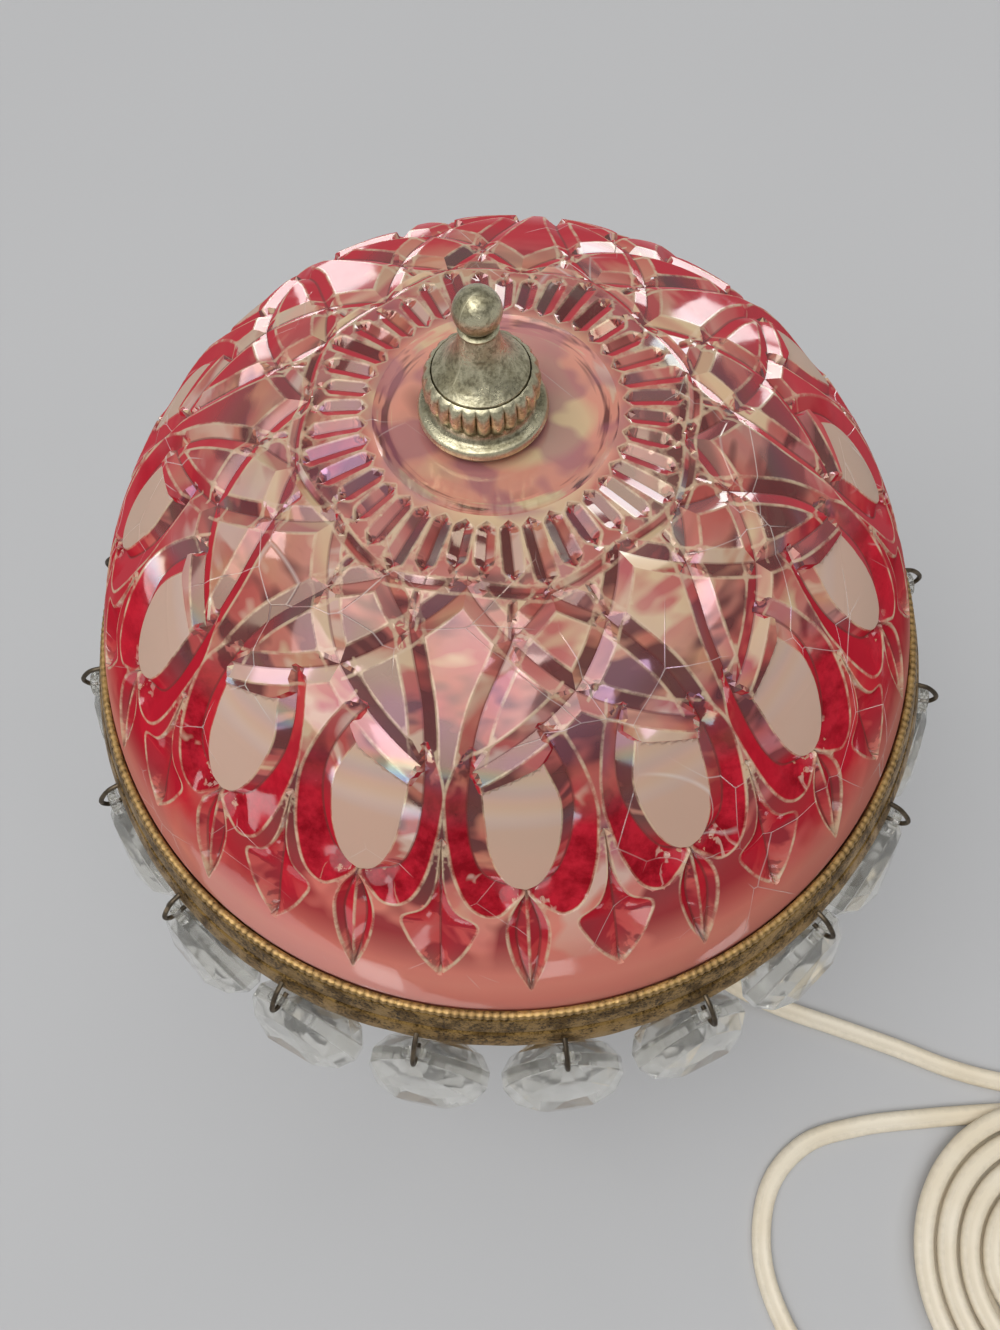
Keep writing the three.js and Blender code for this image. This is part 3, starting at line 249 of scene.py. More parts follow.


# %% [markdown]
# ## Materials
# A material is a Principled surface fed by procedural noise. Three node groups carry what several
# materials share: uneven surface, edge wear with darker corners, and painted reflections: the dark and
# light that facets would mirror from a room.
# Numbers that are the same all over a surface stay on the shader's own sockets.

# %%


def add(tree, kind, sockets=(), **settings):
    """A node with its settings. Sockets maps an input to a value, or to another node's output."""
    made = tree.nodes.new("ShaderNode" + kind)
    for key, value in settings.items():
        setattr(made, key, value)
    for key, value in dict(sockets).items():
        if isinstance(value, bpy.types.NodeSocket):
            tree.links.new(value, made.inputs[key])
        else:
            made.inputs[key].default_value = value
    return made


def noise(tree, vector, scale, detail, rough=0.55):
    """A noise value. Scale is in waves for each metre where vector is a place."""
    sockets = {"Vector": vector, "Scale": scale, "Detail": detail, "Roughness": rough}
    return add(tree, "TexNoise", sockets).outputs["Fac"]


def remap(tree, value, low, high, out_low=0.0, out_high=1.0):
    """The value stretched from low..high to out_low..out_high, and held at the ends."""
    sockets = {0: value, 1: low, 2: high, 3: out_low, 4: out_high}
    return add(tree, "MapRange", sockets).outputs[0]


def mixed(tree, share, first, second):
    """Two colours mixed by a share from 0 to 1."""
    sockets = {0: share}
    for key, colour in ((6, first), (7, second)):
        sockets[key] = colour if isinstance(colour, bpy.types.NodeSocket) else (*colour, 1)
    return add(tree, "Mix", sockets, data_type="RGBA").outputs[2]


def maths(tree, operation, first, second):
    """One arithmetic step on two values."""
    return add(tree, "Math", {0: first, 1: second}, operation=operation).outputs[0]


def times(tree, first, second):
    """The product of two values, which limits one mask by another."""
    return maths(tree, "MULTIPLY", first, second)


def mixed_value(tree, share, first, second):
    """Two values mixed by a share from 0 to 1."""
    return add(tree, "Mix", {0: share, 2: first, 3: second}, data_type="FLOAT").outputs[0]


def place_of(tree):
    """Where a point of the surface lies on its piece."""
    return add(tree, "TexCoord").outputs["Object"]


def facing_of(tree):
    """Which way the surface faces on its piece."""
    return add(tree, "TexCoord").outputs["Normal"]


def feed(tree, node, **values):
    """Links each value to the node's socket of that name."""
    for key, value in values.items():
        tree.links.new(value, node.inputs[key.replace("_", " ")])


def new_group(name, *labels):
    """An empty node group that puts out a value for each label."""
    tree = bpy.data.node_groups.new(name, "ShaderNodeTree")
    for label in labels:
        tree.interface.new_socket(label, in_out="OUTPUT", socket_type="NodeSocketFloat")
    return tree, tree.nodes.new("NodeGroupOutput")


def surface_group():
    """Uneven surface: broad stains, patches of a few millimetres, fine grain and hairline scratches."""
    tree, out = new_group("surface", "Broad", "Patch", "Grain", "Scratch")
    place = place_of(tree)
    stretch = {"Vector": place, "Scale": (900, 120, 2600), "Rotation": (0.4, 0.7, 0.2)}
    hairs = noise(tree, add(tree, "Mapping", stretch).outputs[0], 1, 2, 0.5)
    feed(tree, out, Broad=noise(tree, place, 45, 2), Patch=noise(tree, place, 260, 5, 0.65),
         Grain=noise(tree, place, 1900, 3, 0.7), Scratch=remap(tree, hairs, 0.66, 0.74))
    return tree


def wear_group():
    """Edge wear: high on ridges that hands and cloths reach. Crevice: high in the corners, which the
    materials make darker.
    """
    tree, out = new_group("wear", "Ridge", "Crevice")
    point = add(tree, "NewGeometry").outputs["Pointiness"]
    patch = noise(tree, place_of(tree), 500, 3, 0.6)
    shaken = maths(tree, "ADD", point, remap(tree, patch, 0.3, 0.7, -0.012, 0.012))
    feed(tree, out, Ridge=remap(tree, shaken, 0.51, 0.56), Crevice=remap(tree, shaken, 0.49, 0.44))
    return tree


def lustre_film(tree):
    """Lustre stain: a thin film of drifting thickness, so its tint runs from gold through rose to lilac.
    The tint also follows the way a facet faces, which paints in part of the colour that the film reflects,
    and Glint is the colour of painted highlights.
    """
    place = place_of(tree)
    drift = noise(tree, place, 34, 3, 0.6)
    # Turn follows the way a facet faces: painted reflected colour, not a stain.
    turn = noise(tree, facing_of(tree), 1.6, 2, 0.5)
    both = times(tree, maths(tree, "ADD", drift, turn), 0.5)
    ramp = add(tree, "ValToRGB", {0: remap(tree, both, 0.36, 0.64)})
    stops = [(0.0, (0.58, 0.34, 0.40, 1)), (0.35, (0.80, 0.46, 0.36, 1)), (0.62, (0.90, 0.72, 0.36, 1)),
             (1.0, (0.56, 0.40, 0.52, 1))]
    while len(ramp.color_ramp.elements) < len(stops):
        ramp.color_ramp.elements.new(0.5)
    for element, (where, colour) in zip(ramp.color_ramp.elements, stops):
        element.position, element.color = where, colour
    return {
        "Thickness": remap(tree, both, 0.36, 0.64, 262, 325),
        "Tint": ramp.outputs["Color"],
        # Glint: the colour of painted highlights on the facets that are painted lit.
        "Glint": mixed(tree, remap(tree, turn, 0.4, 0.6), (0.95, 0.82, 0.47), (0.93, 0.74, 0.62)),
        "Amount": remap(tree, noise(tree, place, 90, 2, 0.5), 0.42, 0.62),
    }


def painted_reflections_group():
    """Painted reflections: facets that face some ways are painted dark and others light, as cut glass
    mirrors the dark and lit parts of a room.
    """
    tree, out = new_group("reflections", "Dark", "Light")
    cast = noise(tree, facing_of(tree), 3.6, 3, 0.6)
    feed(tree, out, Dark=remap(tree, cast, 0.525, 0.465), Light=remap(tree, cast, 0.57, 0.62))
    return tree


SURFACE, WEAR, PAINTED_REFLECTIONS = surface_group(), wear_group(), painted_reflections_group()


def use(tree, group):
    """The outputs of a group that is placed in a tree."""
    made = tree.nodes.new("ShaderNodeGroup")
    made.node_tree = group
    return made.outputs


def new_material(name, **plain):
    """A material with its Principled shader, and the plain values set on the shader's sockets."""
    material = bpy.data.materials.new(name)
    material.use_nodes = True
    shader = material.node_tree.nodes["Principled BSDF"]
    for key, value in plain.items():
        socket = shader.inputs[key.replace("_", " ")]
        socket.default_value = (*value, 1) if isinstance(value, tuple) else value
    return material, material.node_tree, shader


def bump(tree, height, depth, strength=1.0, onto=None):
    """Normal from a height between 0 and 1 that stands for depth millimetres."""
    sockets = {"Height": height, "Distance": depth * MM, "Strength": strength}
    if onto is not None:
        sockets["Normal"] = onto
    return add(tree, "Bump", sockets).outputs[0]


def metal(name, bright, dull, dark, rough, grain, speck=0.4):
    """Metal: bright on its ridges, dull where patches of tarnish lie, dark in its corners.
    A mesh may mark points as polished, and they are the brightest."""
    material, tree, shader = new_material(name, Metallic=1.0)
    surface, wear = use(tree, SURFACE), use(tree, WEAR)
    colour = mixed(tree, remap(tree, surface["Patch"], 0.45, 0.6), bright, dull)
    speckle = times(tree, remap(tree, surface["Grain"], 0.46, 0.6),
                    remap(tree, surface["Patch"], 0.35, 0.5))
    colour = mixed(tree, times(tree, speckle, speck), colour, dark)
    colour = mixed(tree, times(tree, wear["Crevice"], 0.8), colour, dark)
    colour = mixed(tree, times(tree, wear["Ridge"], 0.7), colour, bright)
    rubbed = add(tree, "Attribute", attribute_name="polished").outputs["Fac"]
    colour = mixed(tree, rubbed, colour, tuple(min(1, 1.25 * c + 0.06) for c in bright))
    roughness = maths(tree, "ADD", remap(tree, surface["Patch"], 0.35, 0.65, *rough),
                      times(tree, surface["Scratch"], 0.08))
    feed(tree, shader, Base_Color=colour, Roughness=roughness, Normal=bump(tree, surface["Grain"], grain))
    return material


def plain_solid(name, colour, stain, rough, grain):
    """Plastic, fibre, felt or opal glass: a colour that drifts towards its stain, with a fine grain."""
    material, tree, shader = new_material(name)
    surface, wear = use(tree, SURFACE), use(tree, WEAR)
    tone = mixed(tree, remap(tree, surface["Broad"], 0.35, 0.65), colour, stain)
    tone = mixed(tree, times(tree, wear["Crevice"], 0.5), tone, tuple(0.55 * c for c in stain))
    tone = mixed(tree, remap(tree, surface["Grain"], 0.45, 0.75, 0, 0.25), tone, stain)
    feed(tree, shader, Base_Color=tone, Roughness=remap(tree, surface["Patch"], 0.3, 0.7, *rough),
         Normal=bump(tree, surface["Grain"], grain))
    return material


# Colours of the glass and the crystal, as linear red, green and blue. The shadow colours, the violet, the
# valley's brown and the gold of the edges are painted shade, reflection and highlight; the others are the
# glass's own.
ROSE, PALE_ROSE, SALMON = (0.58, 0.10, 0.095), (0.70, 0.20, 0.16), (1.0, 0.44, 0.32)
FACET_SHADOW, PAINTED_DISC_REFLECTION, EDGE_RED = (0.13, 0.045, 0.05), (0.48, 0.17, 0.24), (0.78, 0.012, 0.038)
DEEP_RUBY, RUBY = (0.34, 0.004, 0.014), (0.72, 0.02, 0.045)
LEAF_RED, LEAF_SHADOW, PAINTED_VALLEY_SHADE = (0.72, 0.13, 0.12), (0.30, 0.05, 0.06), (0.20, 0.05, 0.045)
PAINTED_EDGE_GLINT, FROST_TONE, CRAZE_TONE = (0.93, 0.72, 0.48), (0.72, 0.48, 0.35), (0.95, 0.86, 0.80)
CLEAR, DUSTY, CRYSTAL_SHADOW = (0.985, 0.975, 0.93), (0.90, 0.885, 0.82), (0.56, 0.54, 0.46)

# Stretches of low, which runs from 0 at the crown to 1 at the rim, where something sets in or fades.
CROWN_DISC, PLAIN_BAND, CUTS_FADE = (0.02, 0.0), (0.6, 0.72), (0.86, 0.76)
RUBY_START, FILM_FADE, LEAVES_FADE = (0.40, 0.52), (0.4, 0.52), (0.94, 0.78)
LUSTRE_FADE, RED_FADE, LEAN_RISE = (0.85, 0.6), (0.74, 0.90), (0.08, 0.95)


def glass_colour(tree, mark, edge, film, surface, reflections):
    """The layers of colour, the glass's own and painted light and shade, each laid over the last as far as
    its mask says, and the mask of the ovals. Edge is high at the silhouette, where one looks through more
    of the red flash."""
    low = mark["low"]
    frost, crescent, leaf = (remap(tree, mark[name], -0.06, 0.06) for name in ("frost", "crescent", "leaf"))
    dark, light = (times(tree, reflections[name], remap(tree, low, *CUTS_FADE)) for name in ("Dark", "Light"))
    disc, patch = remap(tree, low, *CROWN_DISC), surface["Patch"]
    rose = mixed(tree, remap(tree, surface["Broad"], 0.35, 0.65), ROSE, PALE_ROSE)
    colour = mixed(tree, maths(tree, "ADD", remap(tree, low, *PLAIN_BAND), disc), rose, SALMON)
    ruby = times(tree, crescent, remap(tree, low, *RUBY_START))
    layers = [
        # Partly painted reflection: the film's tint, which follows the way a facet faces.
        (times(tree, film["Amount"], remap(tree, low, *LUSTRE_FADE, 0.1, 0.4)), film["Tint"]),
        # Painted shade: facets that would mirror the dark of a room.
        (times(tree, dark, 0.88), FACET_SHADOW),
        # Painted glints: facets that would mirror the light of a room, in the film's colours.
        (times(tree, light, 0.75), film["Glint"]),
        # Painted reflection: violet patches on the crown disc where the film is thick.
        (times(tree, disc, remap(tree, film["Amount"], 0.35, 0.65, 0, 0.6)), PAINTED_DISC_REFLECTION),
        # The ruby crescents are the glass's own colour, and they give way where a facet is painted lit.
        (times(tree, ruby, remap(tree, light, 0.2, 0.8, 1.0, 0.35)),
         mixed(tree, remap(tree, patch, 0.38, 0.62), DEEP_RUBY, RUBY)),
        # The leaves' own red, with painted shade on the facets that would mirror the dark.
        (times(tree, leaf, remap(tree, low, *LEAVES_FADE, 0.25, 0.9)),
         mixed(tree, reflections["Dark"], LEAF_RED, LEAF_SHADOW)),
        (times(tree, remap(tree, edge, 0.32, 0.62), remap(tree, low, *RED_FADE, 0.95, 0.3)), EDGE_RED),
        # Painted shade along the bottom of each cut.
        (remap(tree, mark["valley"], 0.3, 0.12, 0, 0.6), PAINTED_VALLEY_SHADE),
        # Painted highlights along the edges of the cuts, broken up in patches.
        (times(tree, remap(tree, mark["ridge"], 0.34, 0.12), remap(tree, patch, 0.4, 0.58, 0.15, 0.85)),
         PAINTED_EDGE_GLINT),
        (frost, FROST_TONE),
    ]
    for share, tone in layers:
        colour = mixed(tree, share, colour, tone)
    return colour, frost


def leaned_normal(tree, low, edge):
    """The surface's normal, leaned upwards near the rim and at the silhouette. These parts then mirror the
    dark middle of the sky and not the pale floor, which would wash out their red."""
    lean = maths(tree, "MAXIMUM", remap(tree, low, *LEAN_RISE, 0, 1.0), remap(tree, edge, 0.3, 0.7, 0, 2.2))
    upward = add(tree, "CombineXYZ", {"Z": lean}).outputs[0]
    summed = add(tree, "VectorMath", {0: add(tree, "NewGeometry").outputs["Normal"], 1: upward},
                 operation="ADD")
    return add(tree, "VectorMath", {0: summed.outputs[0]}, operation="NORMALIZE").outputs[0]


def rose_glass():
    """Pressed glass, flashed rose over clear, with a lustre film, hairline crazing and frosted ovals, and
    with painted reflections, glints and shade on its facets and cuts. The mesh measures each point in mm:
    frost, crescent and leaf are how far it lies inside an oval, the cut round it or a leaf, and ridge and
    valley are the distances to the nearest edge and bottom of a cut."""
    material, tree, shader = new_material("rose_glass", Transmission_Weight=0.35, IOR=1.42, Metallic=0.0,
                                          Thin_Film_IOR=1.7)
    mark = {name: add(tree, "Attribute", attribute_name=name).outputs["Fac"]
            for name in ("frost", "crescent", "leaf", "ridge", "valley", "low")}
    low, film, surface, reflections = mark["low"], lustre_film(tree), use(tree, SURFACE), use(tree, PAINTED_REFLECTIONS)
    edge = add(tree, "LayerWeight", {"Blend": 0.5}).outputs["Facing"]
    colour, frost = glass_colour(tree, mark, edge, film, surface, reflections)
    place = place_of(tree)
    cells = add(tree, "TexVoronoi", {"Vector": place, "Scale": 58}, feature="DISTANCE_TO_EDGE")
    hairline = remap(tree, cells.outputs["Distance"], 0.0, 0.006, 1.0, 0.0)
    crazed = times(tree, hairline, remap(tree, surface["Broad"], 0.52, 0.6))
    filmed = times(tree, remap(tree, low, *FILM_FADE, 1, 0), remap(tree, edge, 0.3, 0.5, 1, 0))
    waves = bump(tree, surface["Broad"], 0.5, 0.5, leaned_normal(tree, low, edge))
    feed(tree, shader, Base_Color=mixed(tree, times(tree, crazed, 0.55), colour, CRAZE_TONE),
         Roughness=mixed_value(tree, frost, remap(tree, surface["Patch"], 0.3, 0.7, 0.03, 0.09), 0.55),
         Normal=bump(tree, crazed, 0.05, 0.6, waves),
         Thin_Film_Thickness=times(tree, film["Thickness"], filmed))
    return material


def crystal():
    """Cut lead crystal: clear, with a breath of dust in patches, and painted shade on the facets that would
    mirror the dark of a room.
    """
    material, tree, shader = new_material("crystal", Transmission_Weight=0.9, IOR=1.57, Metallic=0.0)
    surface, wear, reflections = use(tree, SURFACE), use(tree, WEAR), use(tree, PAINTED_REFLECTIONS)
    dusty = remap(tree, surface["Patch"], 0.4, 0.65, 0, 0.6)
    colour = mixed(tree, dusty, CLEAR, DUSTY)
    # Painted shade: facets that would mirror the dark of a room turn grey.
    colour = mixed(tree, times(tree, reflections["Dark"], 0.4), colour, CRYSTAL_SHADOW)
    even = remap(tree, surface["Patch"], 0.35, 0.7, 0.03, 0.14)
    rough = maths(tree, "ADD", even, times(tree, wear["Ridge"], 0.08))
    feed(tree, shader, Base_Color=colour, Roughness=rough, Normal=bump(tree, surface["Broad"], 0.08, 0.4))
    return material


# Metals: bright, dull and dark colour, roughness from and to, grain in mm, for some the share of specks.
METALS = {
    "antique_brass": ((0.40, 0.245, 0.082), (0.17, 0.098, 0.032), (0.035, 0.021, 0.010), (0.34, 0.58),
                      0.1, 0.9),
    "bright_brass": ((0.80, 0.62, 0.32), (0.60, 0.44, 0.21), (0.25, 0.17, 0.08), (0.18, 0.36), 0.01),
    "cast_nickel": ((0.66, 0.61, 0.42), (0.40, 0.36, 0.23), (0.10, 0.082, 0.045), (0.24, 0.40), 0.07, 0.5),
    "dark_wire": ((0.34, 0.26, 0.17), (0.17, 0.13, 0.09), (0.05, 0.04, 0.03), (0.35, 0.55), 0.02),
    "steel": ((0.66, 0.66, 0.66), (0.46, 0.46, 0.45), (0.18, 0.17, 0.16), (0.22, 0.4), 0.01),
}
# The others: colour, stain, roughness from and to, and grain in mm.
PLAIN = {
    "opal_glass": ((0.90, 0.89, 0.86), (0.84, 0.82, 0.77), (0.28, 0.38), 0.004),
    "dark_plastic": ((0.035, 0.024, 0.018), (0.06, 0.045, 0.035), (0.22, 0.4), 0.01),
    "fibre": ((0.27, 0.18, 0.11), (0.16, 0.10, 0.06), (0.75, 0.9), 0.05),
    "ivory_plastic": ((0.90, 0.81, 0.65), (0.83, 0.72, 0.54), (0.32, 0.48), 0.01),
    "green_felt": ((0.045, 0.11, 0.065), (0.07, 0.15, 0.09), (0.9, 1.0), 0.12),
}
FINISH = {"rose_glass": rose_glass(), "crystal": crystal()}
FINISH.update({name: metal(name, *look) for name, look in METALS.items()})
FINISH.update({name: plain_solid(name, *look) for name, look in PLAIN.items()})
print("materials", ", ".join(FINISH))


def dress(piece, finish, *nodes, body="lamp"):
    """Gives a piece its material and its body, and hides the CAD nodes that it stands for."""
    piece.data.materials.append(FINISH[finish])
    if nodes:
        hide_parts(*nodes)
    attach(piece, body)
    print(piece.name, len(piece.data.polygons), "faces,", finish)
    return piece


# %% [markdown]
# ## Cord
# A flat two-core lamp cord, 5.3 mm by 2.8 mm and 1.8 m long. It leaves the base low at the right,
# sweeps round the coil once and comes back past the shade, and the rest is wound in two layers.
# The coil spirals in on the table, climbs a layer in the half turn where it reverses, and spirals out.

# %%
CORD_WIDTH, CORD_THICK = 5.3, 2.8
CORD_REST = CORD_THICK / 2 + 0.1
COIL_SPACE = 0.8
LAYER_RISE, TURN_SPACE = CORD_THICK + COIL_SPACE, CORD_WIDTH + COIL_SPACE
COIL_CENTRE = (144, -127.5)
COIL_RADIUS, COIL_TURNS, COIL_DIP = 40.8, 3.25, 4
CORD_EXIT, CORD_HEIGHT, CORD_ANGLE = 68.3, 6, math.radians(-37)
TAIL_LENGTH = 32
ROUTE_ON_TABLE = [
    (108, -67.5), (124, -74.5), (140, -79), (156, -80), (170, -84.6), (182, -94), (190, -109),
    (192, -127.5), (187.5, -147), (176, -163), (160, -173), (140, -177), (118, -175), (97, -168),
    (79, -156), (67, -140), (62, -121), (66.5, -103), (78, -92.5), (94, -88.6), (112, -87.3), (128, -86.8),
]


def exit_point(distance, height):
    """The place at a distance from the stem, along the way that the cord leaves the base."""
    return (distance * math.cos(CORD_ANGLE) + STEM_X, distance * math.sin(CORD_ANGLE), height)


def coil_line(per_turn):
    """Centreline of the coil: its radius falls by a cord width and a gap each turn, then grows again
    a layer higher."""
    turns = 2 * COIL_TURNS + 0.5
    turn = np.linspace(0, turns, round(turns * per_turn) + 1)
    climb = np.clip((turn - COIL_TURNS) / 0.5, 0, 1)
    inner = COIL_RADIUS - TURN_SPACE * COIL_TURNS
    wound = np.where(turn < COIL_TURNS, COIL_RADIUS - TURN_SPACE * turn,
                     inner + TURN_SPACE * np.maximum(0, turn - COIL_TURNS - 0.5))
    radius = wound - COIL_DIP * np.sin(np.pi * climb)
    angle = np.pi / 2 - 2 * np.pi * turn
    height = CORD_REST + LAYER_RISE * (1 - np.cos(np.pi * climb)) / 2
    return polar(radius, angle, height, COIL_CENTRE)


def cord_section():
    """Two round cores side by side with a shallow groove between them."""
    core, offset = CORD_THICK / 2, (CORD_WIDTH - CORD_THICK) / 2
    swing = np.radians(np.linspace(-118, 118, 11))
    right = np.stack([offset + core * np.cos(swing), core * np.sin(swing)], -1)
    groove = np.array([[0, 0.82 * core]])
    return np.concatenate([right, groove, -right, -groove])


def make_cord():
    """The cord out of the base, along its route and round its coil: one swept piece, and its centreline."""
    start = [exit_point(CORD_EXIT, CORD_HEIGHT), exit_point(CORD_EXIT + 5, CORD_HEIGHT - 0.2),
             (66, -50, 4), (78, -55.5, 1.8), (92, -61, CORD_REST)]
    lead = (COIL_CENTRE[0] - CORD_WIDTH - 0.3, COIL_CENTRE[1] + COIL_RADIUS, CORD_REST)
    route = start + [(x, y, CORD_REST) for x, y in ROUTE_ON_TABLE] + [lead]
    coil = coil_line(72)
    tail_end = coil[-1] + (CORD_WIDTH + TAIL_LENGTH + 0.3, 0, 0)
    line = np.concatenate([centripetal(route, 600), coil, [tail_end]])
    line = evenly(line, 2.5)
    piece = sweep("lamp_cord", line, cord_section(), crease=50)
    dress(piece, "ivory_plastic", "cord", "cord_coil", "cord_tail")
    return piece, line


# %% [markdown]
# ## Shade
# The dome is pressed glass in an old cut-glass pattern. Its surface is described by arc length:
# s runs from the crown ring down to the rim, in rim radii, and phi is the angle from a mirror plane.
# The pattern repeats every 45 degrees and is mirrored in each repeat, so one wedge of 22.5 degrees
# holds all of it. Each groove is a mitre cut: a valley line with a flank that rises to an edge line.
# The wedge is triangulated with these lines as fixed edges, which keeps every ridge crisp. The other
# way, a fine grid, needs four times the faces and still leaves steps along the slanted lines.

# %%
WEDGE, WEDGES, WEDGE_STEPS = 22.5, 16, 12
FIRST_AXIS = -100.26
CROWN_RADIUS, CROWN_DISH = 17.8, 0.8
GLASS_WALL, CROWN_WALL, RIM_TUCK, SHADE_HOLE = 4.2, 4.9, 4.0, 5.6
RELIEF_STEP, SIDE_STEP, LINE_STEP, GLASS_CREASE, SEAM = 0.72, 0.75, 0.8, 14, 2e-5
CLEARANCE, ROW_RISE = 0.42, 0.87  # in steps: from a fixed line, and between rows of even triangles
ON_SIDE = 0.03  # degrees within which a point counts as on the wedge's side
FAR = 2  # mm from a line, beyond which a mark has no use
BAND_DEPTH, OVAL_DEPTH, PANEL_DEPTH = 0.85, 1.5, 0.55
SPEAR_DEPTH, LEAF_DEPTH, FLUTE_DEPTH, GIRDLE_DEPTH = 1.6, 1.25, 0.8, 0.5

ramp = np.sin(np.linspace(0, np.pi / 2, 4000))
dome_r = CROWN_RADIUS + (RIM_RADIUS - CROWN_RADIUS) * ramp
dome_z = dome_height(dome_r)
dome_arc = np.concatenate([[0], np.cumsum(np.hypot(np.diff(dome_r), np.diff(dome_z)))])
ARC_END = dome_arc[-1]


def radius_at(arc):
    """Radius of the dome at an arc length."""
    return np.interp(arc, dome_arc, dome_r)


def smooth_line(points, steps=60):
    """A smooth curve through (phi, s) points as (phi in degrees, arc in mm)."""
    flat = np.array([(phi, s * RIM_RADIUS) for phi, s in points], float)
    return centripetal(flat, steps) if len(points) > 2 else evenly(flat, 0.3)


def beside(line, shift):
    """The line moved sideways by shift mm on the dome, to the left of its direction."""
    grow = np.radians(1) * radius_at(line[:, 1])
    way = np.gradient(np.stack([line[:, 0] * grow, line[:, 1]], -1), axis=0)
    way /= np.linalg.norm(way, axis=1)[:, None]
    return line + np.stack([-way[:, 1] * shift / grow, way[:, 0] * shift], -1)


def distance(points, line):
    """Least distance in mm from each (phi, arc) point to a line, measured on the dome."""
    grow = np.radians(1) * radius_at(points[:, 1])
    best = np.full(len(points), 1e9)
    for a, b in zip(line[:-1], line[1:]):
        start = np.stack([(a[0] - points[:, 0]) * grow, a[1] - points[:, 1]], -1)
        run = np.stack([(b[0] - a[0]) * grow, np.full(len(points), b[1] - a[1])], -1)
        t = np.clip(-(start * run).sum(1) / np.maximum((run**2).sum(1), 1e-12), 0, 1)
        best = np.minimum(best, np.linalg.norm(start + run * t[:, None], axis=1))
    return best


def inside(points, outline):
    """Which points lie in a closed outline, by counting the edges that a ray crosses."""
    crossed = np.zeros(len(points), bool)
    for a, b in zip(outline, np.roll(outline, -1, 0)):
        spans = (a[1] > points[:, 1]) != (b[1] > points[:, 1])
        rise = b[1] - a[1] if b[1] != a[1] else 1e-12
        crossed ^= spans & (points[:, 0] < (b[0] - a[0]) * (points[:, 1] - a[1]) / rise + a[0])
    return crossed


MEET, PEAK, TOE = (11.25, 0.236), (22.5, 0.347), (4.0, 0.483)
GIRDLE_A, GIRDLE_B = (0, 0.138), (22.5, 0.1635)
OVAL_LEFT = smooth_line([(12.1, .229), (8.4, .296), (5.5, .364), (3.97, .441), (3.35, .526), (3.44, .594),
                         (4.2, .663), (5.7, .714), (8, .737), (11.25, .748)], 90)
OVAL_LEFT_EDGE = smooth_line([(1.9, .45), (0.02, .526), (.2, .577), (.9, .646), (2.2, .731), (4, .791),
                              (5.7, .812), (7.5, .812), (9.3, .782), (11.25, .748)], 80)
OVAL_RIGHT = smooth_line([(15, .40), (16.6, .43), (18.5, .492), (19, .56), (17.6, .646), (15, .722),
                          (13, .742), (11.25, .748)], 80)
OVAL_RIGHT_EDGE = smooth_line([(17.6, .378), (20.7, .466), (22.1, .56), (21.7, .629), (20.5, .714),
                               (18.1, .799), (15.9, .816), (13.7, .791), (11.25, .748)], 80)
PANEL_LEFT = smooth_line([(5.6, .518), (6, .577), (6.6, .646), (7.9, .705), (9.5, .737), (11.25, .746)], 50)
PANEL_RIGHT = smooth_line([(14.9, .471), (16.8, .543), (16.5, .611), (14.6, .697), (12.8, .735),
                           (11.25, .746)], 50)
SPEARS = [(0, -1), (22.5, 1)]
LEAF_PHI = WEDGE / 2


def mitre(points, half, depth):
    """Both flanks of a groove of even width: (valley, edge, depth at the valley, depth at the edge)."""
    line = smooth_line(points, 24)
    return [(line, beside(line, side * half), depth, 0) for side in (-1, 1)]


def pattern():
    """Every flank of one wedge, each between a valley and an edge."""
    flanks = mitre([GIRDLE_A, GIRDLE_B], 1.0, GIRDLE_DEPTH)
    for start, end, half in ((GIRDLE_A, MEET, 2.1), (GIRDLE_B, MEET, 2.1), (MEET, PEAK, 2.1),
                             (PEAK, TOE, 2.2)):
        flanks += mitre([start, end], half, BAND_DEPTH)
    flanks += mitre([(12.3, .172), MEET], 0.7, 0.4)
    arch = OVAL_LEFT[:34]
    flanks.append((arch, beside(arch, 2.1), BAND_DEPTH * 1.1, 0))
    flanks.append((arch, beside(arch, -2.1), BAND_DEPTH * 1.1, 0))
    flanks.append((OVAL_LEFT[30:], OVAL_LEFT_EDGE, OVAL_DEPTH, 0))
    flanks.append((OVAL_LEFT[34:], PANEL_LEFT, OVAL_DEPTH, PANEL_DEPTH))
    flanks.append((OVAL_RIGHT, OVAL_RIGHT_EDGE, OVAL_DEPTH, 0))
    flanks.append((OVAL_RIGHT[14:], PANEL_RIGHT, OVAL_DEPTH, PANEL_DEPTH))
    for middle, side in SPEARS:
        valley = smooth_line([(middle, .628), (middle, .8), (middle, 1.023)], 40)
        edge = [(.0, .628), (.66, .748), (2.2, .808), (4.85, .842), (4.1, .895), (2.2, .965), (.0, 1.023)]
        flanks.append((valley, smooth_line([(middle - side * p, s) for p, s in edge], 50), SPEAR_DEPTH, 0))
    for side in (-1, 1):
        ridge = smooth_line([(LEAF_PHI, .752), (LEAF_PHI, .9), (LEAF_PHI, 1.07)], 30)
        valley = [(.1, .754), (1.5, .86), (1.2, .95), (.05, 1.075)]
        edge = [(.15, .75), (1.6, .79), (2.65, .85), (2, .96), (.0, 1.08)]
        valley, edge = (smooth_line([(LEAF_PHI + side * p, s) for p, s in line], 40)
                        for line in (valley, edge))
        flanks.append((valley, edge, LEAF_DEPTH, 0))
        flanks.append((valley, ridge, LEAF_DEPTH, 0.35))
    for middle in (4.5, 13.5, 22.5):
        end = .104 + .048 * middle / WEDGE
        valley = smooth_line([(middle, .012), (middle, end)])
        for side in (-1, 1):
            edge = [(middle, .010), (middle + side * 4.2, .026), (middle + side * 3.4, end - .018),
                    (middle, end)]
            line = np.array([(p, s * RIM_RADIUS) for p, s in edge])
            flanks.append((valley, evenly(line, 0.3), FLUTE_DEPTH, 0))
    return flanks


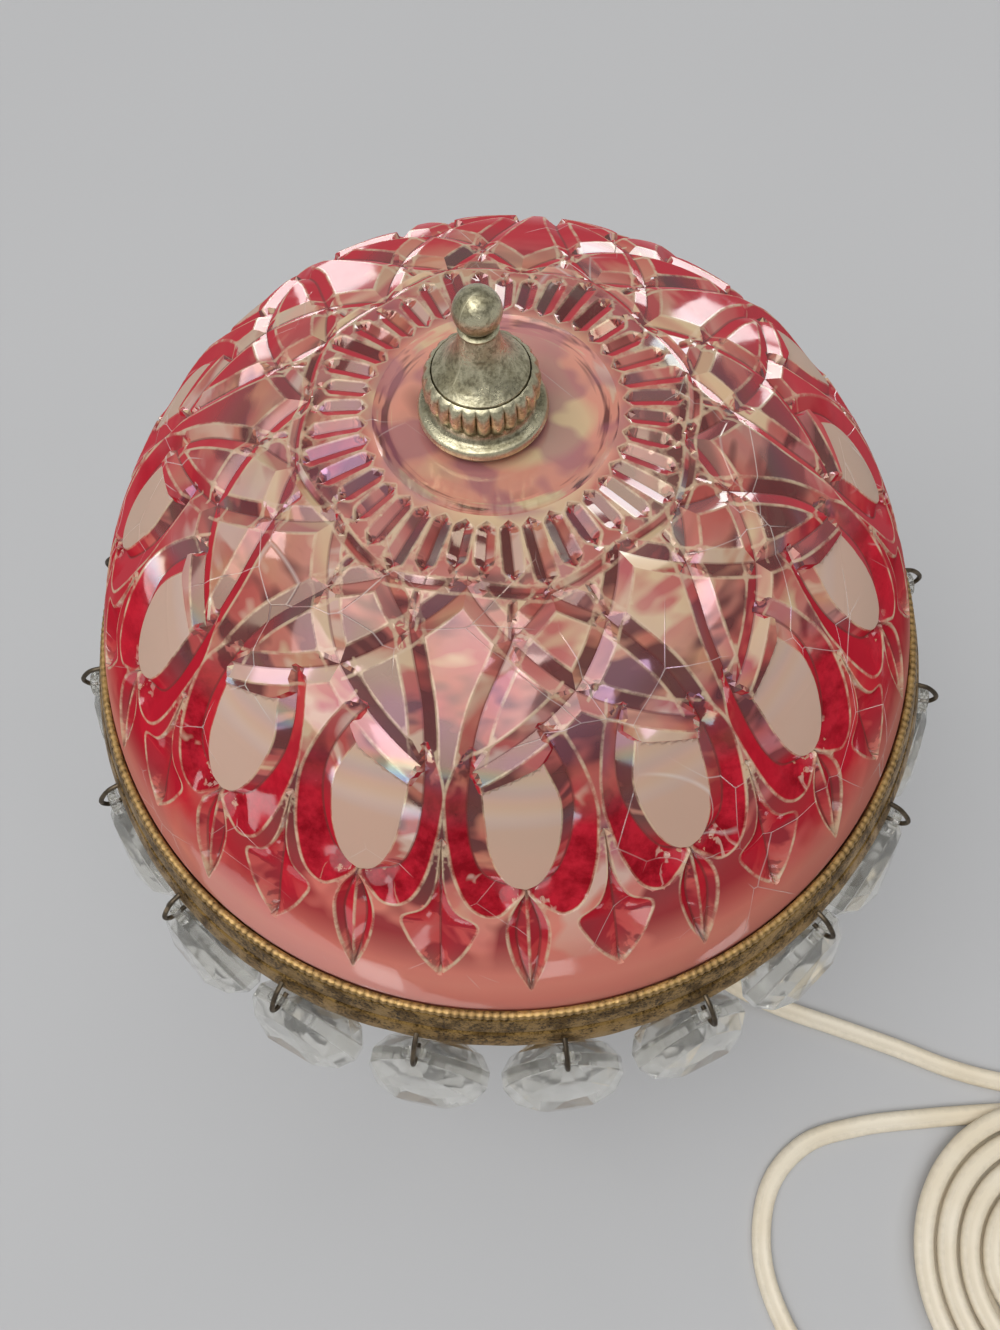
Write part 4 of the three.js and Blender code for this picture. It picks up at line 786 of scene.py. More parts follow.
FLANKS = pattern()
PANEL = np.concatenate([PANEL_LEFT, PANEL_RIGHT[::-1]])
CRESCENTS = [(OVAL_LEFT[30:], OVAL_LEFT_EDGE), (OVAL_RIGHT, OVAL_RIGHT_EDGE)]
LEAVES = [(valley, edge) for valley, edge, low, _ in FLANKS if low in (SPEAR_DEPTH, LEAF_DEPTH)]


def relief(points):
    """Depth of the cut below the dome at (phi, arc) points.
    The deepest flank wins, and the oval panels lie flat."""
    depth = np.where(inside(points, PANEL), PANEL_DEPTH, 0.0)
    for valley, edge, low, high in FLANKS:
        chosen = np.flatnonzero(inside(points, np.concatenate([valley, edge[::-1]])))
        near = np.concatenate([chosen, np.flatnonzero(distance(points, valley) < 0.03)])
        if len(near):
            near = np.unique(near)
            to_valley, to_edge = distance(points[near], valley), distance(points[near], edge)
            share = to_edge / np.maximum(to_valley + to_edge, 1e-6)
            depth[near] = np.maximum(depth[near], high + (low - high) * share)
    return depth


def nearest(points, lines):
    """Distance in mm from each point to the nearest of the lines, at most FAR."""
    return np.minimum(np.min([distance(points, line) for line in lines], axis=0), FAR)


def depth_inside(points, outline):
    """Distance in mm to a closed outline, positive inside and negative outside."""
    away = np.minimum(distance(points, np.r_[outline, outline[:1]]), FAR)
    return np.where(inside(points, outline), away, -away)


def wedge_mesh():
    """Points (phi, arc) and triangles of one wedge.
    The pattern's lines and the wedge's sides are fixed edges."""
    def flat(line):
        """Points (phi, arc) as mm across and mm down."""
        return np.stack([line[:, 0] * np.radians(1) * radius_at(line[:, 1]), line[:, 1]], -1)

    arcs = np.linspace(0, ARC_END, round(ARC_END / SIDE_STEP) + 1)
    sides = [np.stack([np.full(len(arcs), phi), arcs], -1) for phi in (0, WEDGE)]
    across = np.linspace(0, WEDGE, WEDGE_STEPS + 1)
    ends = [np.stack([across, np.full(len(across), arc)], -1) for arc in (0, ARC_END)]
    lines = sides + ends + [PANEL_LEFT, PANEL_RIGHT, np.stack([PANEL_LEFT[0], PANEL_RIGHT[0]])]
    for valley, edge, _, _ in FLANKS:
        lines += [valley, edge]
    points, edges, start = [], [], 0
    for k, line in enumerate(lines):
        line = flat(line) if k < 4 else evenly(flat(line), LINE_STEP)
        points.append(line)
        edges += [(start + i, start + i + 1) for i in range(len(line) - 1)]
        start += len(line)
    fixed = np.concatenate(points)
    rows = []
    arc, odd = RELIEF_STEP * 0.7, 0
    while arc < ARC_END - 0.4:
        step = RELIEF_STEP if arc < 1.09 * RIM_RADIUS else 2 * RELIEF_STEP
        width = WEDGE * np.radians(1) * radius_at(arc)
        row = np.arange(step * (0.5 + 0.5 * odd), width - 0.3 * step, step)
        rows.append(np.stack([row, np.full(len(row), arc)], -1))
        arc, odd = arc + step * ROW_RISE, 1 - odd
    free = np.concatenate(rows)
    gap = np.concatenate([np.min(np.linalg.norm(part[:, None] - fixed[None], axis=2), axis=1)
                          for part in np.array_split(free, 12)])
    free = free[gap > CLEARANCE * RELIEF_STEP]
    points = np.concatenate([fixed, free])
    made = delaunay_2d_cdt([tuple(p) for p in points], edges, [], 0, 1e-4)
    verts, faces = np.array(made[0]), np.array(made[2])
    phi = verts[:, 0] / (np.radians(1) * radius_at(verts[:, 1]))
    phi = np.where(abs(phi) < ON_SIDE, 0, np.where(abs(phi - WEDGE) < ON_SIDE, WEDGE, phi))
    verts = np.stack([phi, verts[:, 1]], -1)
    middle = verts[faces].mean(1)
    kept = (middle[:, 0] > 0) & (middle[:, 0] < WEDGE) & (middle[:, 1] > 0) & (middle[:, 1] < ARC_END)
    return verts, faces[kept]


def wedge_marks(cell):
    """What the glass's material reads at each point of a wedge, in mm, and low from 0 to 1."""
    def deepest(flanks):
        """How far each point lies inside the flank that holds it."""
        return np.max([depth_inside(cell, np.r_[valley, edge[::-1]]) for valley, edge in flanks], axis=0)

    return {
        "frost": depth_inside(cell, PANEL), "crescent": deepest(CRESCENTS), "leaf": deepest(LEAVES),
        "ridge": nearest(cell, [edge for _, edge, _, _ in FLANKS]),
        "valley": nearest(cell, [valley for valley, _, _, _ in FLANKS]),
        "low": cell[:, 1] / ARC_END,
    }


def plain_walls():
    """Profile of the glass where it isn't cut: crown disc, hole, inside and rim.
    With it comes low, which is 0 on the disc, a half inside and 1 at the rim."""
    inner = RIM_RADIUS - GLASS_WALL
    inside_r = SHADE_HOLE + (inner - SHADE_HOLE) * np.sin(np.linspace(0, np.pi / 2, 28))
    inside_z = dome_height(inside_r, inner, DOME_RISE - CROWN_WALL)
    crown_z, foot = dome_height(CROWN_RADIUS), RIM_Z - RIM_TUCK
    disc = [(CROWN_RADIUS, crown_z), (CROWN_RADIUS - 1.2, crown_z - 0.5),
            (CROWN_RADIUS - 3, crown_z - CROWN_DISH), (SHADE_HOLE + 0.6, crown_z - CROWN_DISH),
            (SHADE_HOLE, crown_z - CROWN_DISH - 0.6)]
    rim = [(inner, foot + 0.5), (inner + 0.6, foot), (RIM_RADIUS - 0.6, foot), (RIM_RADIUS, foot + 0.6),
           (RIM_RADIUS, RIM_Z)]
    profile = np.array(disc + list(zip(inside_r, inside_z)) + rim)
    low = np.full(len(profile), 0.5)
    low[:len(disc)], low[-3:] = 0, 1
    return profile, low


def make_shade():
    """The dome: sixteen cut wedges outside, every second one mirrored, and the plain walls turned round."""
    cell, faces = wedge_mesh()
    depth = relief(cell)
    fall, run = (np.interp(cell[:, 1], dome_arc, np.gradient(line, dome_arc)) for line in (dome_z, dome_r))
    size = np.hypot(fall, run)
    r = radius_at(cell[:, 1]) + depth * fall / size
    z = np.interp(cell[:, 1], dome_arc, dome_z) - depth * run / size
    verts, polys = [], []
    for k in range(WEDGES):
        flip = k % 2
        angle = np.radians(FIRST_AXIS + 2 * WEDGE * (k // 2) + (-1 if flip else 1) * cell[:, 0])
        verts.append(polar(r, angle, z))
        polys.append((faces[:, ::-1] if flip else faces) + k * len(cell))
    profile, low = plain_walls()
    columns = WEDGES * WEDGE_STEPS
    angle = np.radians(FIRST_AXIS) + np.linspace(0, 2 * np.pi, columns, endpoint=False)
    verts.append(polar(profile[:, :1], angle, np.repeat(profile[:, 1:], columns, 1)).reshape(-1, 3))
    quads = grid_faces(len(profile), columns, first=WEDGES * len(cell))[:, ::-1]
    piece = build("shade_glass", np.concatenate(verts), np.concatenate(polys), quads, crease=GLASS_CREASE)
    mesh = piece.data
    off_pattern = {"frost": -FAR, "crescent": -FAR, "leaf": -FAR, "ridge": FAR, "valley": FAR}
    low = np.repeat(low, columns)
    for name, values in wedge_marks(cell).items():
        fill = np.full(len(low), float(off_pattern[name])) if name in off_pattern else low
        layer = mesh.attributes.new(name, "FLOAT", "POINT")
        layer.data.foreach_set("value", np.concatenate([np.tile(values, WEDGES), fill]).astype(np.float32))
    welded(mesh, SEAM)
    mesh.set_sharp_from_angle(angle=math.radians(GLASS_CREASE))
    print("shade", len(mesh.vertices), "points", len(mesh.polygons), "faces")
    return dress(piece, "rose_glass", "shade", body="shade_assembly")


make_shade()

# %% [markdown]
# ## Rim band
# Thin spun brass: a milled bead on top, a plain speckled wall, a groove, and a skirt whose lip is a
# little uneven. The bead's milling is in the mesh, four columns to a notch, because it catches light.

# %%
GAP = 0.3
BAND_IN, BAND_OUT = RIM_RADIUS - GLASS_WALL - GAP - 1, RIM_RADIUS + GAP + 1
LIP_RADIUS, LIP_Z = BAND_OUT + 3.7, RIM_Z - 9.4
CHANNEL_FLOOR = RIM_Z - RIM_TUCK - GAP
NOTCHES = 360


def skirt_radius(z):
    """Outside radius of the skirt at a height: it widens evenly down to the lip."""
    return BAND_OUT + 0.6 + (LIP_RADIUS - BAND_OUT - 0.6) * (RIM_Z - 1 - z) / 8.4


def make_band():
    """The band's closed wall, from the skirt's inside over lip, groove and bead to the channel."""
    bead, floor = BAND_OUT + 0.6, CHANNEL_FLOOR - 1
    wall = [
        (BAND_IN, floor), (skirt_radius(floor) - 0.8, floor), (LIP_RADIUS - 0.8, LIP_Z),
        (LIP_RADIUS - 0.05, LIP_Z), (skirt_radius(LIP_Z + 2), LIP_Z + 2),
        (skirt_radius(LIP_Z + 4), LIP_Z + 4), (skirt_radius(LIP_Z + 4.4) - 0.45, LIP_Z + 4.4),
        (skirt_radius(LIP_Z + 4.8) - 0.1, LIP_Z + 4.8), (bead + 0.5, RIM_Z - 2.4), (bead, RIM_Z - 0.9),
        (bead - 0.3, RIM_Z - 0.7), (bead - 0.1, RIM_Z - 0.4), (bead - 0.4, RIM_Z + 0.2),
        (bead - 0.9, RIM_Z + 0.3), (RIM_RADIUS + GAP + 0.1, RIM_Z + 0.2), (RIM_RADIUS + GAP, RIM_Z),
        (RIM_RADIUS + GAP, CHANNEL_FLOOR), (BAND_IN + 1, CHANNEL_FLOOR), (BAND_IN + 1, RIM_Z - 1),
        (BAND_IN, RIM_Z - 1), (BAND_IN, floor),
    ]

    def uneven(angle, r, z):
        """The bead is notched all round, and the skirt swells and dips by a quarter of a millimetre."""
        milled = np.where((z > RIM_Z - 0.6) & (r > BAND_OUT - 0.4), 1.0, 0.0)
        drop = np.clip((RIM_Z - 4.5 - z) / 5, 0, 1) * (r > BAND_OUT)
        wave = 0.5 * np.sin(7 * angle + 1) + 0.3 * np.sin(23 * angle) + 0.2 * np.sin(61 * angle + 2)
        dent = 0.18 * milled * (0.5 + 0.5 * np.cos(NOTCHES * angle))
        return r - dent - 0.14 * drop * (1 + wave), z + 0.3 * drop * (1 + wave)

    band = revolve("rim_band_brass", round_corners(wall, 0.18, 2), 4 * NOTCHES, (0, 0), uneven, crease=40)
    x, y, z = np.array([v.co for v in band.data.vertices]).T / MM
    on_bead = (z > RIM_Z - 0.6) & (np.hypot(x, y) > BAND_OUT - 0.6)
    crest = 0.5 - 0.4 * np.cos(NOTCHES * np.arctan2(y, x))
    layer = band.data.attributes.new("polished", "FLOAT", "POINT")
    layer.data.foreach_set("value", (on_bead * crest).astype(np.float32))
    return dress(band, "antique_brass", "rim_band", body="shade_assembly")


make_band()

# %% [markdown]
# ## Hooks
# One wire hoop lies behind the skirt. Twenty short hooks come out through the skirt's holes, and
# each carries a crystal on its end.

# %%
DROP_COUNT, DROP_PHASE, DROP_RADIUS, DROP_HANG = 20, -85.3, 81.8, 14.2
HOOK_WIRE = 0.45
HOLE_Z = LIP_Z + 1.7
HOOP_Z = HOLE_Z + 0.5
HOLE_RADIUS, HOOP_RADIUS = skirt_radius(HOLE_Z) - 0.4, skirt_radius(HOOP_Z) - 1.89
drop_angles = np.radians(DROP_PHASE + 360 / DROP_COUNT * np.arange(DROP_COUNT))


def join_meshes(name, pieces):
    """One object from several, whose own objects go."""
    verts, faces, start = [], {3: [], 4: []}, 0
    for piece in pieces:
        mesh = piece.data
        verts += [tuple(v.co / MM) for v in mesh.vertices]
        for polygon in mesh.polygons:
            faces[len(polygon.vertices)].append([start + i for i in polygon.vertices])
        start += len(mesh.vertices)
        bpy.data.objects.remove(piece)
        bpy.data.meshes.remove(mesh)
    return build(name, np.array(verts), *(np.array(f) for f in faces.values() if f))


def make_hooks():
    """One hook swept along its bends and turned to each crystal's place, and the hoop behind the skirt."""
    hinge, front = RIM_Z - DROP_HANG, DROP_RADIUS + 2
    path = [(HOOP_RADIUS, HOOP_Z), (HOLE_RADIUS, HOLE_Z), (DROP_RADIUS - 0.4, HOLE_Z - 0.7),
            (front, hinge + 2.6), (front - 0.8, hinge + 0.3), (DROP_RADIUS - 1.7, hinge)]
    line = evenly(centripetal(path, 60), 0.4)
    section = round_section(HOOK_WIRE, 10)
    pieces = []
    for k, angle in enumerate(drop_angles):
        turned = polar(line[:, 0], angle, line[:, 1])
        pieces.append(sweep(f"hook_{k}", turned, section, up=(-math.sin(angle), math.cos(angle), 0)))
    ring = [(HOOP_RADIUS + HOOK_WIRE * math.cos(t), HOOP_Z + HOOK_WIRE * math.sin(t))
            for t in np.linspace(0, 2 * np.pi, 11)]
    pieces.append(revolve("hoop", ring, 240, (0, 0)))
    return dress(join_meshes("hook_wires", pieces), "dark_wire", "hook_wire", body="shade_assembly")


make_hooks()

# %% [markdown]
# ## Crystals
# Each drop is the hull of a few rings of points, which gives flat facets that meet in sharp edges:
# a small table on each face, a ring of kites round it and a belt of long facets to the edge.
# The hanging tab is a flat ring round the hook's hole.

# %%
DROP_LENGTH, DROP_WIDE, DROP_DEEP = 43.0, 12.0, 6.5


def drop_outline(t):
    """Half width and height of the pear outline at angles t, 0 at the foot.
    It is a circle drawn out to the tab."""
    down = (1 - np.cos(t)) / 2
    wide = DROP_WIDE * np.sin(t) * (1 - 0.58 * down**2.2) / 0.93
    return wide, -DROP_LENGTH + (DROP_LENGTH - 2.2) * down


def make_drop_mesh():
    """The hull of three rings of points on each side: the edge, the kites and the table."""
    rings = []
    for steps, shrink, deep, turn in ((18, 1.0, 1.5, 0), (12, 0.82, 4.4, 0.5),
                                      (9, 0.45, DROP_DEEP - 0.2, 0)):
        t = 2 * np.pi * (np.arange(steps) + turn) / steps
        wide, high = drop_outline(t)
        middle = -DROP_LENGTH * 0.6
        slim = 1 - 0.5 * np.clip((high - middle) / DROP_LENGTH, 0, 1)
        for side in (-1, 1):
            rings.append(np.stack([side * deep * slim, wide * shrink,
                                   middle + (high - middle) * shrink], -1))
    work = bmesh.new()
    for x, y, z in np.concatenate(rings):
        work.verts.new((x * MM, y * MM, z * MM))
    hull = bmesh.ops.convex_hull(work, input=work.verts)
    bmesh.ops.delete(work, geom=list({g for g in hull["geom_interior"] + hull["geom_unused"]}),
                     context="VERTS")
    bmesh.ops.dissolve_limit(work, angle_limit=math.radians(2), verts=work.verts, edges=work.edges)
    bmesh.ops.bevel(work, geom=work.edges[:], offset=0.12 * MM, segments=1, affect="EDGES")
    mesh = bpy.data.meshes.new("drop")
    work.to_mesh(mesh)
    work.free()
    return mesh


def make_drops():
    """A copy of the drop for each hook, with its tab turned across the hook's wire."""
    base = make_drop_mesh()
    tab = np.array([(1.05, -0.8), (2.35, -0.8), (2.6, -0.45), (2.6, 0.45), (2.35, 0.8), (1.05, 0.8),
                    (1.05, -0.8)])
    for k, angle in enumerate(drop_angles):
        ring = revolve("tab", tab, 32, (0, 0))
        ring.data.transform(Matrix.Rotation(math.pi / 2, 4, "Y"))
        work = bmesh.new()
        work.from_mesh(base)
        work.from_mesh(ring.data)
        mesh = bpy.data.meshes.new(f"crystal_{k + 1:02d}")
        work.to_mesh(mesh)
        work.free()
        bpy.data.objects.remove(ring)
        place = Matrix.Translation((DROP_RADIUS * math.cos(angle) * MM, DROP_RADIUS * math.sin(angle) * MM,
                                    (RIM_Z - DROP_HANG) * MM))
        mesh.transform(place @ Matrix.Rotation(angle, 4, "Z"))
        dress(new_object(mesh.name, mesh), "crystal", f"prism_{k + 1:02d}", body=f"prism_{k + 1:02d}_body")


make_drops()

# %% [markdown]
# ## Finial
# Cast nickel: a rolled flange, a collar of twenty-four pillow lobes, a bell that is let in behind a
# fine joint line, and a ball on a slim neck.

# %%
FINIAL_Z, LOBES = 223.45, 24


def make_finial():
    """The finial and the washer under it."""
    ball = [(3.3 * math.cos(t), 20.0 + 3.3 * math.sin(t)) for t in np.radians(np.linspace(-52, 90, 20))]
    bell = [(6.72, 8.95), (6.4, 9.2), (5.7, 9.75), (4.9, 10.6), (4.1, 11.7), (3.5, 12.9), (3.1, 14.2),
            (2.8, 15.6), (2.6, 16.5), (2.75, 16.75), (2.8, 17.0), (2.55, 17.2), (2.3, 17.3)]
    profile = raised([
        (0, 8.5), (3.35, 8.5), (3.35, 0), (8.9, 0), (9.35, 0.4), (9.4, 0.9), (9.2, 1.5), (8.8, 1.8),
        (8.3, 1.8), (7.8, 2.1), (7.45, 2.7), (7.35, 3.3), (7.5, 3.8), (7.9, 4.2), (8.22, 4.9),
        (8.3, 5.8), (8.28, 6.7), (8.15, 7.4), (7.8, 8.1), (7.35, 8.55), (6.98, 8.7), (6.88, 8.4),
        (6.78, 8.7), *bell, *ball,
    ], FINIAL_Z)

    def lobed(angle, r, z):
        """Lobes: the collar's radius falls by up to 0.75 mm between them, most at half its height."""
        level = z - FINIAL_Z
        window = np.clip((level - 3.4) / 1.0, 0, 1) * np.clip((8.8 - level) / 1.5, 0, 1) * (r > 6.95)
        return r - 0.75 * window * (1 - np.abs(np.cos(LOBES / 2 * angle)) ** 0.7), z

    finial = revolve("finial_cast", profile, 24 * LOBES, reach=lobed, crease=38)
    dress(finial, "cast_nickel", "finial", body="finial_body")
    washer = [(3.35, 222.35), (8.6, 222.35), (8.6, 223.15), (3.35, 223.15), (3.35, 222.35)]
    washer = revolve("washer_fibre", round_corners(washer, 0.15, 2), 96)
    dress(washer, "fibre", "finial_washer", body="finial_seat")


make_finial()

# %% [markdown]
# ## Base, cups and column
# Two cast and spun brass cups hold a fluted glass column over a cast drum base with a felt foot.
# Every profile runs from the bore outwards and up, so its faces point out.

# %%
BASE_Z, LOWER_CUP_Z, COLUMN_Z, COLUMN_HEIGHT, UPPER_CUP_Z = 1.5, 24.8, 36.6, 47.0, 83.9
PIPE_HOLE = 5.05
PEARLS, PETALS, FLATS = 96, 32, 16


def turned_piece(name, profile, finish, node, columns=160, corner=0.3, reach=None, crease=35):
    """A closed profile with its corners rounded, turned about the stem and dressed."""
    piece = revolve(name, round_corners(profile, corner), columns, reach=reach, crease=crease)
    return dress(piece, finish, node)


def make_stand():
    """Felt, base, lower cup, column and upper cup, each on the one before."""
    felt = [(0, 0), (45.6, 0), (46, 0.5), (45.8, 1.2), (0, 1.2)]
    turned_piece("felt_foot", felt, "green_felt", "felt_pad", columns=200)
    ogee = [(45.5, 12.5), (37.6, 13.7), (25.9, 15.5), (19, 18.5), (17, 20.8)]
    base = raised([
        (PIPE_HOLE, 15.2), (12, 15.2), (12, 0), (46.4, 0), (47, 0.6), (47, 1.6), (46.5, 2.0),
        (46.5, 8.2), (47, 8.6), (47, 9.2), (47.5, 9.5), (47.9, 10.2), (47.6, 11.0), (46.8, 11.5),
        (46.2, 11.7), *centripetal(ogee, 40), (17.6, 21.1), (18.2, 21.6), (18.3, 22.1), (18, 22.8),
        (17.4, 23), (PIPE_HOLE, 23), (PIPE_HOLE, 15.2),
    ], BASE_Z)

    def cast(angle, r, z):
        """A beaded rim of small pearls round the drum's upper edge."""
        level = z - BASE_Z
        pearl = np.exp(-((level - 10.2) / 0.9) ** 2) * (r > 46)
        return r - 0.55 * pearl * (1 - np.abs(np.cos(PEARLS / 2 * angle)) ** 0.8), z

    turned_piece("base_cast", base, "antique_brass", "base", columns=6 * PEARLS, corner=0.25, reach=cast)
    lower = raised([
        (PIPE_HOLE, 0), (16.9, 0), (17.4, 0.4), (17.45, 1.0), (17, 1.7), (16.2, 2.1), (15.2, 2.5),
        (14, 3.2), (12.6, 4.4), (12, 5.6), (12, 6.4), (12.5, 7.6), (13.2, 8.8), (14.2, 10.2),
        (14.9, 11), (14.8, 11.4), (14.4, 11.5), (PIPE_HOLE, 11.5), (PIPE_HOLE, 0),
    ], LOWER_CUP_Z)
    turned_piece("lower_cup_spun", lower, "antique_brass", "lower_cup", columns=12 * PETALS,
                 reach=petals(13, 8.5, LOWER_CUP_Z))
    outline = [(13, 2), (17, 0.32 * COLUMN_HEIGHT), (9, 0.78 * COLUMN_HEIGHT), (11, COLUMN_HEIGHT - 1)]
    column = raised([(PIPE_HOLE, 0), (13.3, 0), *centripetal(outline, 60), (10.5, COLUMN_HEIGHT),
                     (PIPE_HOLE, COLUMN_HEIGHT), (PIPE_HOLE, 0)], COLUMN_Z)

    def fluted(angle, r, z):
        """Flats that are slightly hollow between their arrises."""
        across = np.abs((angle * (FLATS / 2) / np.pi) % 1 - 0.5) * 2
        return np.where(r > PIPE_HOLE + 0.5, r * (0.965 + 0.035 * across**2), r), z

    turned_piece("column_glass", column, "crystal", "column", columns=256, corner=0.15, reach=fluted,
                 crease=20)
    upper = raised([
        (PIPE_HOLE, 0), (11.2, 0), (11.6, 0.3), (13.2, 1.4), (13.95, 2.1), (13.9, 2.7), (13.1, 3.3),
        (12, 3.8), (10.6, 4.6), (9.7, 5.8), (9.25, 7.2), (9.3, 8.2), (9.7, 8.8), (9.8, 9.2), (9.5, 9.5),
        (PIPE_HOLE, 9.5), (PIPE_HOLE, 0),
    ], UPPER_CUP_Z)
    turned_piece("upper_cup_spun", upper, "antique_brass", "upper_cup", columns=12 * PETALS)


def petals(least, low, base):
    """Reach for a cup whose lip is pressed into small petals, above a height."""
    def reach(angle, r, z):
        """The lip falls back by up to 0.45 mm between two petals."""
        level = np.clip((z - base - low) / 2.5, 0, 1) * (r > least)
        return r - 0.45 * level * (1 - np.abs(np.cos(PETALS / 2 * angle)) ** 0.6), z
    return reach


make_stand()

# %% [markdown]
# ## Lamp holder and bulb
# Spun brass cap and shell round a fibre liner, with the screw shell and the bulb inside, and a ribbed
# turn switch out at the back. The bulb's cap has its thread. The screw shell round it is a plain tube.

# %%
CAP_Z, SHELL_Z, SCREW_Z, BULB_Z, SWITCH_Z = 95.4, 106.4, 118.7, 120.7, 113.84
KNOB_RIBS = 12


def threaded(turns, depth, low, high, least):
    """Reach for a rolled thread: the radius rises and falls once a turn, moved along by the angle."""
    def reach(angle, r, z):
        """The thread fades out at both ends, and leaves what lies within the least radius."""
        share = (z - low) / (high - low)
        held = np.clip(share * 12, 0, 1) * np.clip((1 - share) * 12, 0, 1) * (r > least)
        return r - depth * held * (0.5 + 0.5 * np.sin(2 * np.pi * turns * share + angle)), z
    return reach


def make_holder():
    """Cap, shell, liner, core and screw shell of the holder, and the bulb with its threaded cap."""
    cap = raised([
        (PIPE_HOLE, 0), (8.6, 0), (9.4, 0.5), (10.3, 1.4), (11.6, 2.4), (13.6, 3.7), (15.3, 5.6),
        (16.6, 7.6), (17.2, 9.2), (17.3, 9.8), (17.05, 10.3), (17.05, 10.8), (17.3, 11.3), (17.3, 14.6),
        (17.1, 15), (16.5, 15), (16.5, 10), (15, 7), (13, 4.8), (9, 2), (PIPE_HOLE, 2), (PIPE_HOLE, 0),
    ], CAP_Z)
    turned_piece("holder_cap", cap, "bright_brass", "socket_cap")
    shell = [(15.4, 0), (16.2, 0), (16.2, 12), (15.95, 12.6), (16.2, 13.2), (16.2, 34.2), (16.1, 35),
             (15.9, 36), (15.5, 36), (15.4, 35), (15.4, 0)]
    turned_piece("holder_shell", raised(shell, SHELL_Z), "bright_brass", "socket_shell", corner=0.12)
    liner = raised([(14.3, 0.5), (15.1, 0.5), (15.1, 35), (14.3, 35), (14.3, 0.5)], SHELL_Z)
    turned_piece("holder_liner", liner, "fibre", "socket_liner", corner=0.1)
    core = raised([(0, 0), (13.6, 0), (14, 0.4), (14, 11.6), (13.6, 12), (0, 12)], SHELL_Z)
    turned_piece("holder_core", core, "dark_plastic", "socket_core", corner=0.2)
    rows = np.linspace(SCREW_Z, SCREW_Z + 22, 140)
    screw = [(13.2, z) for z in rows[::-1]] + [(13.6, z) for z in rows] + [(13.2, rows[-1])]
    dress(revolve("thread_shell", screw, 96), "bright_brass", "screw_shell")
    rows = np.linspace(BULB_Z + 5.5, BULB_Z + 21, 140)
    cap = [(0, BULB_Z), (3.6, BULB_Z), (4.2, BULB_Z + 0.6), (9.9, BULB_Z + 2), (12.2, BULB_Z + 4.4)]
    cap += [(12.9, z) for z in rows] + [(12.6, BULB_Z + 21.6), (12.4, BULB_Z + 22), (0, BULB_Z + 22)]
    thread = threaded(4.5, 0.7, BULB_Z + 5, BULB_Z + 21.5, 12)
    dress(revolve("bulb_screw", cap, 96, reach=thread), "steel", "bulb_cap")
    low = BULB_Z + 22.3
    outline = [(11.9, 0), (12.2, 3), (13.9, 9.7), (20.5, 20), (24, 31.9), (22.3, 43), (17.3, 51.3), (9, 56),
               (0, 57)]
    glass = raised(evenly(centripetal(outline, 200), 0.9), low)
    inner = [(max(0, r - 1), min(z, low + 56)) for r, z in glass]
    glass[-1], inner[-1] = (0, low + 57), (0, low + 56)
    bulb = revolve("bulb_envelope", inner[::-1] + glass, 128)
    bulb.data.flip_normals()
    dress(bulb, "opal_glass", "bulb_glass")


make_holder()


def spun(name, profile, way, start, finish, node, columns=96, reach=None, body="lamp", corner=0.2):
    """A profile turned about its own axis, which is then laid along a way from a start point in mm."""
    piece = revolve(name, round_corners(profile, corner), columns, (0, 0), reach)
    turn = Vector((0, 0, 1)).rotation_difference(Vector(way)).to_matrix().to_4x4()
    piece.data.transform(Matrix.Translation(Vector(start) * MM) @ turn)
    return dress(piece, finish, node, body=body)


def make_switch():
    """The switch's shaft and its ribbed knob."""
    shaft = [(0, 6.3), (1.5, 6.3), (1.5, 27.4), (1.2, 27.7), (0, 27.7)]
    spun("switch_pin", shaft, (0, 1, 0), (STEM_X, 0, SWITCH_Z), "steel", "switch_shaft", body="switch",
         corner=0.1)
    knob = [(0, 8), (1.75, 8), (1.75, 0), (2.6, 0), (2.8, 2.4), (4.0, 3.6), (4.55, 4.4), (4.6, 5),
            (4.6, 9.8), (4.3, 10.6), (3.6, 11), (0, 11)]

    def ribbed(angle, r, z):
        """Ribs: the grip's radius falls by 0.4 mm between them."""
        return r - 0.4 * (r > 4.2) * (0.5 - 0.5 * np.cos(KNOB_RIBS * angle)), z

    spun("switch_grip", knob, (0, 1, 0), (STEM_X, 20, SWITCH_Z), "dark_plastic", "switch_knob", columns=192,
         reach=ribbed, body="switch")


make_switch()

# %% [markdown]
# ## Harp, stud and rest
# The harp is a brass wire bow on two sleeves. The stud on its top passes the shade's hole into the
# finial, and a dished plate on the stud carries the glass.

# %%
SADDLE_Z, HARP_TOP, HARP_HALF, HARP_FOOT = 93.7, 212.0, 38, 24


